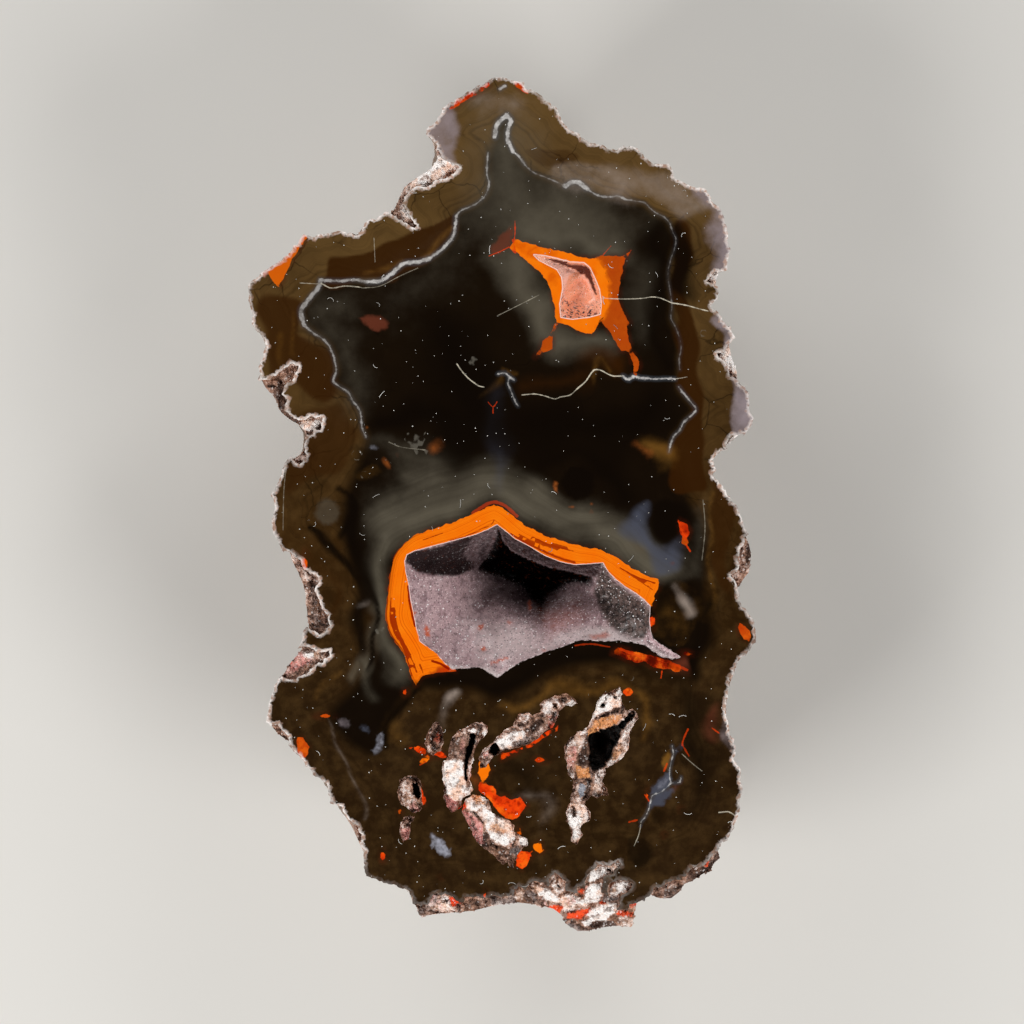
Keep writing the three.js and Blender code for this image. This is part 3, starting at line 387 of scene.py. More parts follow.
paleLines = [
    (0.045, 0.9, [(-4.6, 14.4), (-4.2, 13.8), (-3.6, 13.1), (-3, 12.6), (-2.4, 12.2), (-1.9, 12.1)]),
    (0.03, 0.8, [(1.9, 11.3), (3.2, 11.4), (4.2, 11.2), (5.2, 10.9), (5.7, 11.1), (6.7, 11.3),
        (7.4, 11.9)]),
    (0.05, 0.95, [(7.4, 11.9), (8.2, 12.6), (8.7, 13.3), (9.1, 13.8), (9.7, 13.8), (10.3, 13.5),
        (11, 13.2), (12, 13.2)]),
    (0.03, 0.7, [(17.2, 12.9), (18.4, 13.1)]),
    (0.03, 0.9, [(9.9, 21), (11.7, 20.9), (13.7, 20.95), (14.9, 21.1), (15.7, 21), (16.9, 20.5)]),
    (0.04, 0.9, [(16.9, 20.5), (18.2, 20.3), (19.7, 19.9), (20.5, 19.7)]),
    (0.02, 0.5, [(-0.6, 19.2), (2.2, 20.6), (3.6, 21.3)]),
    (0.04, 0.8, [(-18.2, 22.5), (-17.2, 22), (-15.8, 22.2), (-14.4, 22.1)]),
    (0.02, 0.5, [(-14, 22), (-12.3, 22.2), (-10.3, 23.2), (-8.5, 24)]),
    (0.02, 0.5, [(-12.9, 27), (-12.8, 24.6)]), (0.05, 0.8, [(21.6, -30.45), (22.6, -30.4), (23.5, -31)]),
    (0.02, 0.5, [(-20.3, 22.5), (-18.3, 22.4)]), (0.03, 0.7, [(13.8, -31.4), (13.6, -32.6), (13.1, -33.8)]),
    (0.025, 0.3, [(-21.5, 5.3), (-21.9, 2), (-22, -2.2)]),
    (0.025, 0.3, [(20, 0.8), (20.2, -2), (19.9, -5.2)]),
    (0.02, 0.5, [(17.9, -24.6), (19, -25.6), (19.9, -26.3)]),
    (0.03, 0.35, [(-11.4, 6.6), (-10.2, 6.1), (-7.8, 5.8)]),
]
redLines = [
    (0.16, 0.42, [(-3, -0.5), (-2, 0.15), (-0.9, 0.6), (0.3, 0.15), (1.4, -0.8)]),
    (0.05, 0.8, [(1.2, 28.7), (1.2, 27.6), (1.1, 26.5)]),
    (0.04, 0.8, [(0.6, 26.1), (-0.4, 25.6), (-1.4, 25.2)]),
    (0.03, 0.8, [(0.6, 26.1), (1.3, 25.5), (0.9, 26.9)]),
    (0.04, 0.7, [(-1.5, 10.6), (-1, 10.1), (-0.6, 10.6)]), (0.04, 0.5, [(-1, 10.1), (-1, 9.5)]),
    (0.03, 0.7, [(10, 25.3), (10.8, 26.2)]), (0.03, 0.6, [(12.5, 25.2), (12.8, 25.8)]),
    (0.07, 0.4, [(7.2, -13.75), (8.8, -13.6), (10.7, -13.9)]), (0.14, 0.6, [(11.7, -14.1), (13.7, -14.9)]),
    (0.05, 0.8, [(15.9, -16.3), (15.8, -17)]), (0.13, 0.5, [(17, -15.6), (18.4, -16.2)]),
    (0.08, 0.6, [(18.5, -22.1), (18.1, -23), (17.9, -23.7)]), (0.07, 0.45, [(18, -23.8), (18.6, -24.8)]),
    (0.09, 0.6, [(16.4, -25.6), (16.1, -26.3)]), (0.05, 0.7, [(20.9, -22), (21.6, -22.5)]),
    (0.08, 0.5, [(13.4, -31.2), (12.6, -31.4)]), (0.05, 0.6, [(-7.7, -25.4), (-8.3, -25.7)]),
    (0.06, 0.7, [(14.2, -28.7), (14.6, -29.3)]), (0.1, 0.8, [(17.9, -2.3), (18.2, -3.2)]),
    (0.08, 0.8, [(18.3, -3.6), (18.7, -4.3)]),
]
# Dark red slits between the laminae of the orange band
slits = [
    (0.1, 1, [(-9.5, -7.8), (-9.35, -9.4), (-9.1, -10.6), (-8.8, -11.8)]),
    (0.12, 0.9, [(-10.9, -10), (-10.75, -11.4), (-10.3, -12.8), (-9.3, -14.7)]),
    (0.05, 0.9, [(-10.8, -10.2), (-11, -11.4), (-10.5, -13), (-9.2, -15), (-8.6, -16.4)]),
    (0.1, 0.9, [(0.6, -2.5), (2.3, -3.45), (4.2, -4.4), (5.8, -5.05), (7.2, -5.45)]),
    (0.03, 0.8, [(1.6, -2.6), (3.2, -3.4), (5.4, -4.2)]),
    (0.06, 0.9, [(11.7, -6), (13.4, -6.9), (15.2, -7.5)]),
    (0.04, 0.8, [(12.2, -6.3), (13.8, -7.4), (15, -8.2)]),
    (0.04, 0.9, [(-5.3, -3.25), (-4.2, -2.95), (-2.5, -2.35)]),
    (0.04, 0.8, [(-2.2, -2.1), (-1.2, -1.7), (-0.9, -1.2)]),
    (0.05, 0.9, [(-11.2, -9), (-11.3, -11), (-10.8, -12.6), (-9.9, -14.2), (-9.1, -16.8)]),
    (0.04, 0.9, [(3, -2.9), (5, -3.8), (7, -4.3)]), (0.03, 0.8, [(5, -3.5), (6.4, -3.9)]),
    (0.04, 0.9, [(-8, -3.2), (-6, -2.5)]), (0.04, 0.8, [(-5.5, -4), (-4.4, -3.9)]),
    (0.12, 1, [(-7.1, -15.3), (-6.2, -15.6), (-5.4, -16.1)]), (0.05, 0.9, [(-8.3, -15.6), (-8, -16.5)]),
]
# Bubbles in the agate, as middle and radius
rings = [
    (-3, 14.7, 0.42), (-3, 14.7, 0.2), (-12.3, -12.2, 0.45), (-12.3, -12.2, 0.18), (20, 17.5, 0.33),
    (12.8, -17, 0.26), (-6.5, -37.8, 0.2), (-9.1, 6.8, 0.8), (-9.1, 6.8, 0.55), (-9.1, 6.8, 0.3),
    (-8.2, 5.9, 0.7), (-8.2, 5.9, 0.4), (-6.5, 6.5, 0.6), (-11.7, 4.3, 0.5), (-14.6, 5.3, 0.5),
    (-13.8, 3.3, 0.4), (-7.4, 7.2, 0.5),
]

# Soft clouds of colour in the agate: tone, strength, reach, and the line or the closed area it follows
clouds = [
    ("smoke", 0.6, 4.5, [(0.2, 36.5), (0.3, 34), (1, 31.5), (3, 30), (6, 29.3)]),
    ("smoke", 0.22, 4.5, [(-3, 28.5), (-6.5, 24), (-11, 21)]),
    ("smoke", 0.85, 2.2, [(0.9, 24.6), (2.2, 22.3), (3.4, 20.2), (4.2, 17.6)]),
    ("smoke", 0.7, 1.7, [(6, 16.6), (8.5, 16.3), (10.3, 16.2)]),
    ("smoke", 0.75, 1.8, [(2.4, 27.7), (5.5, 27.1), (8.6, 26.3), (11.5, 26.4)]),
    ("smoke", 0.35, 2, [(13.6, 24), (13.8, 21), (14.3, 17.8)]),
    ("smoke", 0.25, 2.4, [(7, 29.4), (10.5, 28.8), (14.5, 28.2)]),
    ("smoke", 0.32, 2.4, [(-16.8, 20.3), (-17.8, 18.6), (-15.6, 15.6), (-15, 11)]),
    ("mist", 0.36, 1.4, [(-0.9, 11.4), (-0.8, 8.6), (-0.5, 5), (-0.4, 2.6)]),
    ("smoke", 0.9, 2.3, [(-10.8, -1.6), (-8.5, -0.9), (-5.5, 0.2), (-2.6, 1.7), (0.2, 2.2), (3, 0.6),
        (6.2, -1.2), (9, -2), (12, -3), (14.4, -4.6)]),
    ("smoke", 0.36, 3.2, [(-11.6, -0.5), (-9.5, 1.6), (-6, 3.4)]),
    ("smoke", 0.3, 1.6, [(-12.4, 6.6), (-10.2, 6), (-8, 5.4), (-6.6, 5.2)]),
    ("smoke", 0.35, 1.2, [(-9.6, 3.2), (-7.2, 3)]),
    ("smoke", 0.7, 1.4, [(-12, -3.6), (-12.5, -6.6), (-12.4, -9.6)]),
    ("smoke", 0.75, 1.2, [(-12.2, -10.6), (-11.8, -13), (-11, -15), (-10.6, -16.6)]),
    ("smoke", 0.6, 0.8, [(-13.8, -16.2), (-14.6, -15), (-15.8, -17)]),
    ("smoke", 0.4, 0.9, [(-13, -13), (-14, -16.4), (-13, -18.6)]),
    ("smoke", 0.3, 1.4, [(19.3, -0.8), (19.4, -3.4), (19.2, -6.2)]),
    ("smoke", 0.8, 2, [(12.5, -4), (14.6, -5.4), (16.2, -5.8)]),
    ("shadow", 0.4, 1.8, [(-12.4, -18.4), (-12, -20)]), ("gold", 0.3, 0.7, [(-18.4, -18.6), (-17, -16.4)]),
    ("haze", 0.24, 0.34, [(-17.6, -20.6), (-16.4, -24), (-15, -27.2), (-14, -31)]),
    ("gold", 0.35, 1.6, [(-9.8, -22.8), (-11, -21.6)]), ("gold", 0.16, 2.2, [(16.4, -10.4), (17.6, -10.8)]),
    ("shadow", 0.85, 1.5, [(18.3, 25.6), (18.6, 23.8), (18.3, 22.2)]),
    ("shadow", 0.95, 4.6, [(-5, 16), (-2, 8), (-3, 9)]),
    ("shadow", 0.9, 1.5, [(-12.4, 9), (-7.4, 9.4), (-4.6, 6)]),
    ("shadow", 0.9, 3, [(3, 8), (7, 8.6), (12, 8), (15, 9.6)]), ("shadow", 0.8, 2, [(10, 3.5), (12, 1.6)]),
    ("shadow", 0.75, 2, [(15.5, 27), (15.4, 22), (15.6, 17), (16, 14.5)]),
    ("shadow", 0.6, 1.6, [(3.6, 4), (4.6, 5.6), (10.6, 4.6)]),
    ("shadow", 0.9, 1, [(-15.4, -0.4), (-15, -3.6), (-13.8, -7.6), (-14.4, -11), (-14, -14)]),
    ("shadow", 1, 0.36, [(-19.9, -1.6), (-18.5, -2.6), (-16.9, -4.2), (-15.3, -5.5), (-14.1, -7.4),
        (-13, -9.2), (-12.7, -10.8), (-12.8, -14), (-13.6, -16.4)]),
    ("shadow", 0.9, 0.4, [(-15.7, 2), (-15.2, 0.4), (-15.4, -1.2), (-16.6, -3)]),
    ("shadow", 0.55, 1.2, [(-8, -17.6), (-5, -17.4), (-2.6, -17.5), (-0.6, -18.2), (2, -16.9),
        (5.5, -15.2), (9, -14.6), (12.5, -15.2), (16, -17.4), (19.4, -15.6)]),
    ("shadow", 0.9, 0.5, [(-8.7, -17.9), (-10, -19.2), (-10.8, -20.4), (-11.6, -21.7), (-11.9, -23.2)]),
    ("shadow", 0.85, 0.9, [(20.4, -9.4), (20.6, -13.4), (19.4, -15.8)]),
    ("shadow", 0.5, 1.3, [(18.4, -18), (18.6, -21), (19.6, -26), (18.6, -30.5)]),
    ("shadow", 0.55, 2.4, [(0.4, -25.8), (3, -27), (2.4, -28.4)]),
    ("shadow", 0.4, 1.2, [(14.2, -34.5), (12.8, -37.4)]),
    ("shadow", 0.6, 0.5, [(17.7, -24.9), (17.9, -25.9)]),
    ("shadow", 0.35, 0.35, [(-0.3, -19.5), (3.7, -18), (5.7, -17.2), (9.7, -16.9), (12.7, -17.4),
        (14.3, -18.5), (14.8, -20.2)]),
    ("amber", 0.5, 1.3, [(-20.5, -13.2), (-17.6, -11.4), (-17, -7.6), (-19.4, -3.6)]),
    ("amber", 0.5, 1.5, [(2.2, 12.4), (5, 12.2), (7.4, 13)]),
    ("amber", 0.9, 1.2, [(8.6, 14.9), (10.4, 14.6), (12.2, 14.4)]),
    ("gold", 0.55, 0.5, [(-5.4, 27.6), (-6.6, 25.9), (-8, 25.1)]),
    ("gold", 0.45, 0.4, [(-9.6, 24.9), (-11.6, 23.9), (-13.6, 23.2)]),
    ("gold", 0.55, 0.5, [(-2, 11), (-1.4, 11.9), (-0.4, 13)]),
    ("gold", 0.4, 0.4, [(8, 13), (9.2, 14.3), (11.4, 13.6)]),
    ("gold", 0.45, 0.45, [(-0.2, 13.9), (1.4, 13.7)]), ("gold", 0.75, 1.4, [(14.2, 6.2), (15.6, 5.2)]),
    ("gold", 0.5, 1.2, [(16.4, 4.4)]), ("ember", 0.4, 0.9, [(13, 6), (14.6, 4.6)]),
    ("gold", 0.5, 0.8, [(-0.3, -20), (3.7, -18.7), (5.7, -17.9), (9.7, -17.7), (12.7, -18), (14, -19.2),
        (14.4, -20.7), (14.2, -22.6)]),
    ("gold", 0.35, 1.3, [(12.6, -3.9), (13.8, -4.6)]),
    ("gold", 0.4, 0.5, [(20.4, 1), (20.8, -2.6), (20.7, -8), (20.6, -12)]),
    ("gold", 0.35, 0.6, [(-22.6, 17.4), (-21.8, 14)]), ("gold", 0.35, 0.5, [(-21, 19.4), (-21, 15.4)]),
    ("stain", 0.8, 0.8, [(16.9, -16.4), (18.6, -15.6)]), ("stain", 0.7, 0.35, [(16.9, -4.9)]),
    ("stain", 0.5, 0.35, [(-9.9, 5.3)]), ("stain", 0.5, 0.4, [(17.4, -27.8)]),
    ("stain", 0.55, 1.2, [(20.6, -20.6), (21.6, -22.4)]), ("ember", 0.8, 0.55, [(-11.7, 4.2)]),
    ("ember", 0.55, 0.7, [(-6.5, 6.4)]), ("ember", 0.7, 0.25, [(-13.9, 8.4)]),
    ("ember", 0.75, 0.32, [(5.35, 2.7), (5.4, 1.9)]), ("ember", 0.8, 0.3, [(6.9, 0.15)]),
    ("ember", 0.7, 0.26, [(8.95, 0.1)]), ("ember", 0.5, 0.4, [(9, -0.9)]),
    ("ember", 0.4, 0.8, [(-3.4, -25.9), (-2.4, -27.6)]),
    ("haze", 0.55, 0.75, [(-4.9, -19.8), (-4.3, -19.1)]),
    ("haze", 0.3, 0.8, [(-5.9, -20.9), (-4.9, -19.6)]), ("haze", 0.35, 0.55, [(17.2, -8), (18, -9.2)]),
    ("haze", 0.58, 0.7, [(18.1, -9.3), (18.9, -10.8)]),
    ("haze", 0.4, 1.6, [(5.5, 33), (8.6, 32.7), (12, 31.6)]), ("haze", 0.3, 1.8, [(-2, 40.4), (1.6, 40.2)]),
    ("lilac", 0.7, 0.8, [(22, 31.6), (22.6, 28), (22.4, 24.6)]),
    ("lilac", 0.6, 0.7, [(23.6, 17), (24.4, 12), (24.6, 9)]), ("haze", 0.35, 0.6, [(-13.9, -9.3)]),
    ("haze", 0.22, 0.9, [(1.8, -29.4), (3.4, -29), (4, -31)]),
    ("frost", 0.5, 0.3, [(-12.3, 5.5), (-12.8, 5.8)]),
]
# Closed areas of cloud, with the softness of their edge
cloudAreas = [
    ("lilac", 0.62, 0.7, [(-8, 43), (-5, 43), (-4.3, 41.2), (-4.6, 39), (-4.8, 37), (-4.8, 34.5),
        (-5.5, 34), (-8, 35)]),
    ("lilac", 0.6, 0.6, [(17.6, 34), (18.8, 31.8), (20, 29.4), (20.7, 27.2), (21.1, 25.2), (20.9, 23.2),
        (21, 22.2), (24, 22.4), (24, 34)]),
    ("lilac", 0.6, 0.3, [(21.25, 19.6), (22.1, 17), (22.2, 15), (22.6, 13), (23.1, 10.7), (23.4, 7.8),
        (23.2, 6), (26, 6), (26, 19.5)]),
    ("lilac", 0.3, 0.3, [(22.3, -20), (22.4, -22.4), (22.6, -24.4), (23.4, -25.6), (24.5, -25),
        (24.5, -20)]),
    ("haze", 0.35, 0.9, [(5, 34), (9, 33.8), (14, 31.4), (17.5, 28.6), (20, 30.6), (14, 34)]),
    ("amber", 0.5, 0.3, [(2.2, 35.6), (4, 36.6), (6.4, 36.6), (8, 35.4), (6.6, 34.3), (4, 34)]),
    ("amber", 0.95, 0.35, [(-17.4, 24.9), (-16.4, 25.4), (-13.4, 26.2), (-11.8, 26.9), (-8.5, 27.7),
        (-6.5, 28.7), (-4.9, 29.2), (-4.6, 27.6), (-5.6, 26), (-7.8, 24.4), (-10.1, 24), (-11.8, 22.8),
        (-15.4, 22.6), (-17.8, 22.5), (-17.7, 23.8)]),
    ("amber", 0.75, 0.5, [(-24.6, 20.6), (-22.4, 21.4), (-19.8, 20.4), (-20.2, 17.6), (-19, 16.8),
        (-17, 14.8), (-17, 12.4), (-17.6, 10.6), (-20.6, 12), (-22.8, 13.4), (-23.8, 17.2)]),
    ("amber", 0.6, 0.6, [(-20.8, 9), (-17.6, 10.2), (-15.4, 9.4), (-14.4, 6.6), (-16.2, 3.4), (-19.2, 3),
        (-21.4, 1), (-22.2, 4), (-21.2, 7.4)]),
    ("amber", 0.9, 0.35, [(17.1, 28.6), (19.3, 27.9), (19.8, 25.6), (19.2, 24.2), (18.4, 22.6),
        (18.2, 21), (18.8, 18.6), (19.5, 16), (19.8, 12.7), (20.2, 9.4), (20.4, 5), (19.6, 1), (17, 3),
        (16.6, 5.6), (18, 8.6), (18.7, 10.7), (17.6, 12.1), (17.6, 16), (16.7, 20), (17, 24.9)]),
    ("amber", 0.6, 0.5, [(20.6, 4), (23.4, 4), (24.2, 0.4), (23.2, -3.6), (22.8, -8), (21.6, -8),
        (20.8, -3)]),
    ("shadow", 0.75, 0.6, [(17, 28.4), (19.1, 27.6), (19.7, 25.8), (19, 24), (17.9, 21.8), (16.9, 22.6),
        (17.1, 25.4)]),
    ("shadow", 0.35, 1, [(18.4, -18), (22, -20), (22.6, -25), (20.4, -29), (18.6, -27)]),
    ("mist", 0.78, 0.8, [(14.2, 1), (13.3, 0.1), (13, -0.9), (11.9, -2), (12.6, -3.2), (14.6, -4.2),
        (15.6, -6.4), (17.3, -5.9), (17.7, -4.9), (17.65, -3.6), (17.3, -3.2), (16.5, -3.3), (15.6, -3),
        (14.8, -2.2), (14.45, -1.2), (14.5, 0)]),
    ("shadow", 0.75, 0.6, [(14.8, 0.8), (16.6, 1.6), (18, 0.4), (18.1, -2), (17.5, -2.9), (16.5, -2.8),
        (15.4, -2.2), (14.9, -1)]),
    ("gold", 0.2, 0.3, [(15.6, -8), (16.3, -7.3), (17.8, -7.2), (19.3, -8.2), (20.2, -10.4),
        (19.8, -12.6), (18.2, -13.9), (16.4, -13.9), (15.2, -12.9), (14.8, -11.2), (14.9, -9.6)]),
    ("shadow", 0.7, 0.7, [(15.6, -8.2), (16.6, -7.6), (16.9, -9), (16, -11), (15, -11.4), (15, -9.6)]),
    ("shadow", 0.8, 0.14, [(5.75, 2.5), (6.2, 3.5), (7.2, 4.1), (8.4, 3.9), (9.1, 3), (9, 1.7), (8, 0.9),
        (6.7, 1)]),
    ("shadow", 0.25, 0.12, [(-18.9, 0.6), (-18, 1.3), (-16.7, 1.1), (-15.9, 0.2), (-15.8, -0.8),
        (-16.5, -1.9), (-17.8, -2.2), (-18.9, -1.5), (-19.3, -0.4)]),
    ("shadow", 0.4, 0.12, [(-15.6, 5.9), (-14.8, 6.5), (-13.9, 6.2), (-13.5, 5.3), (-14.2, 4.5),
        (-15.3, 4.6)]),
    ("shadow", 0.4, 0.12, [(-14.8, 4.2), (-13.6, 4.8), (-12.4, 4.2), (-12.1, 3), (-12.9, 2.1),
        (-14.2, 2.1), (-14.9, 3)]),
    ("smoke", 0.5, 0.24, [(-18.4, 0.6), (-17.2, 0.9), (-16.3, 0), (-16.6, -1.3), (-17.9, -1.8),
        (-18.8, -0.8)]),
    ("gold", 0.3, 0.5, [(-15.2, 5.9), (-14.4, 6), (-13.9, 5.3), (-14.6, 4.8), (-15.3, 5.2)]),
    ("gold", 0.34, 0.5, [(-14.3, 4), (-13.3, 4.2), (-12.6, 3.4), (-13.1, 2.5), (-14.2, 2.6)]),
    ("gold", 0.9, 0.2, [(16.9, -24), (16.3, -24.6), (15.7, -25.4), (16.1, -26.1), (16.7, -25.5),
        (16.9, -24.6)]),
    ("stain", 0.8, 0.24, [(-14.4, 19), (-13.5, 19.3), (-12.3, 19.2), (-11.3, 18.4), (-12.3, 17.6),
        (-13.1, 17.7), (-13.9, 18.3)]),
    ("shadow", 0.8, 0.15, [(-13.1, 17.75), (-12.2, 17.65), (-12.5, 17.2)]),
    ("stain", 0.75, 0.14, [(-1.5, 25.3), (-1, 26.5), (0.2, 27.6), (1.1, 28.5), (0.9, 26.8), (0.7, 26),
        (-0.3, 25.5)]),
    ("frost", 0.62, 0.1, [(-7.1, -32.7), (-6.3, -33), (-5.3, -34.2), (-5.1, -35), (-6.1, -34.7),
        (-7.1, -34)]),
    ("lilac", 0.45, 0.2, [(-16.6, -21), (-15.9, -21), (-15.2, -21.7), (-15.4, -22.1), (-16.3, -21.8)]),
    ("mist", 0.7, 0.2, [(-14.3, -21.9), (-13.5, -21.9), (-13.4, -22.4), (-14, -22.4)]),
    ("frost", 0.4, 0.14, [(-12, -22.3), (-11.8, -23.2), (-12.1, -24.2), (-12.9, -24.7), (-13.2, -24.2),
        (-12.7, -23.5), (-12.5, -22.6)]),
    ("mist", 1, 0.1, [(16.7, -26.1), (16.5, -26.6), (15.6, -27.3), (14.9, -28), (14.7, -28.6),
        (15.8, -28.4), (16.6, -27.7), (16.8, -27.4), (16.7, -26.8)]),
    ("mist", 0.9, 0.14, [(15, -28.75), (15.75, -28.5), (16.5, -28), (17.2, -27.9), (17.1, -28.4),
        (16.5, -29), (16.1, -29.6), (15.5, -29.8), (14.7, -30)]),
    ("mist", 0.8, 0.12, [(17.2, -24.2), (17.55, -23.9), (17.9, -23.6), (17.95, -23.9), (17.7, -24.4),
        (17.3, -24.5)]),
    ("frost", 0.3, 0.12, [(15.2, -27.8), (16, -27.2), (16.6, -26.7), (16.4, -27.6), (15.4, -28.2)]),
    ("mist", 0.8, 0.12, [(13.6, -31.6), (14.1, -31.6), (14.4, -32.1), (13.9, -32.1), (13.5, -31.9)]),
    ("shadow", 0.45, 0.14, [(15, -30.1), (15.8, -30), (16.3, -30.7), (15.9, -31.5), (15.1, -31.5),
        (14.7, -30.8)]),
    ("shadow", 0.5, 0.14, [(12.4, -33), (13.6, -32.7), (14.6, -33.4), (14.9, -34.8), (14, -35.8),
        (12.6, -35.2)]),
    ("blush", 0.55, 0.2, [(-20.4, 27.6), (-19.4, 27.6), (-20.9, 25.6), (-22.6, 24), (-24.2, 22.8),
        (-24.4, 23.6)]),
    ("blush", 0.5, 0.2, [(22.2, -19.4), (22.7, -22.6), (23.4, -24.6), (24.4, -24.4), (24.4, -19.4)]),
]

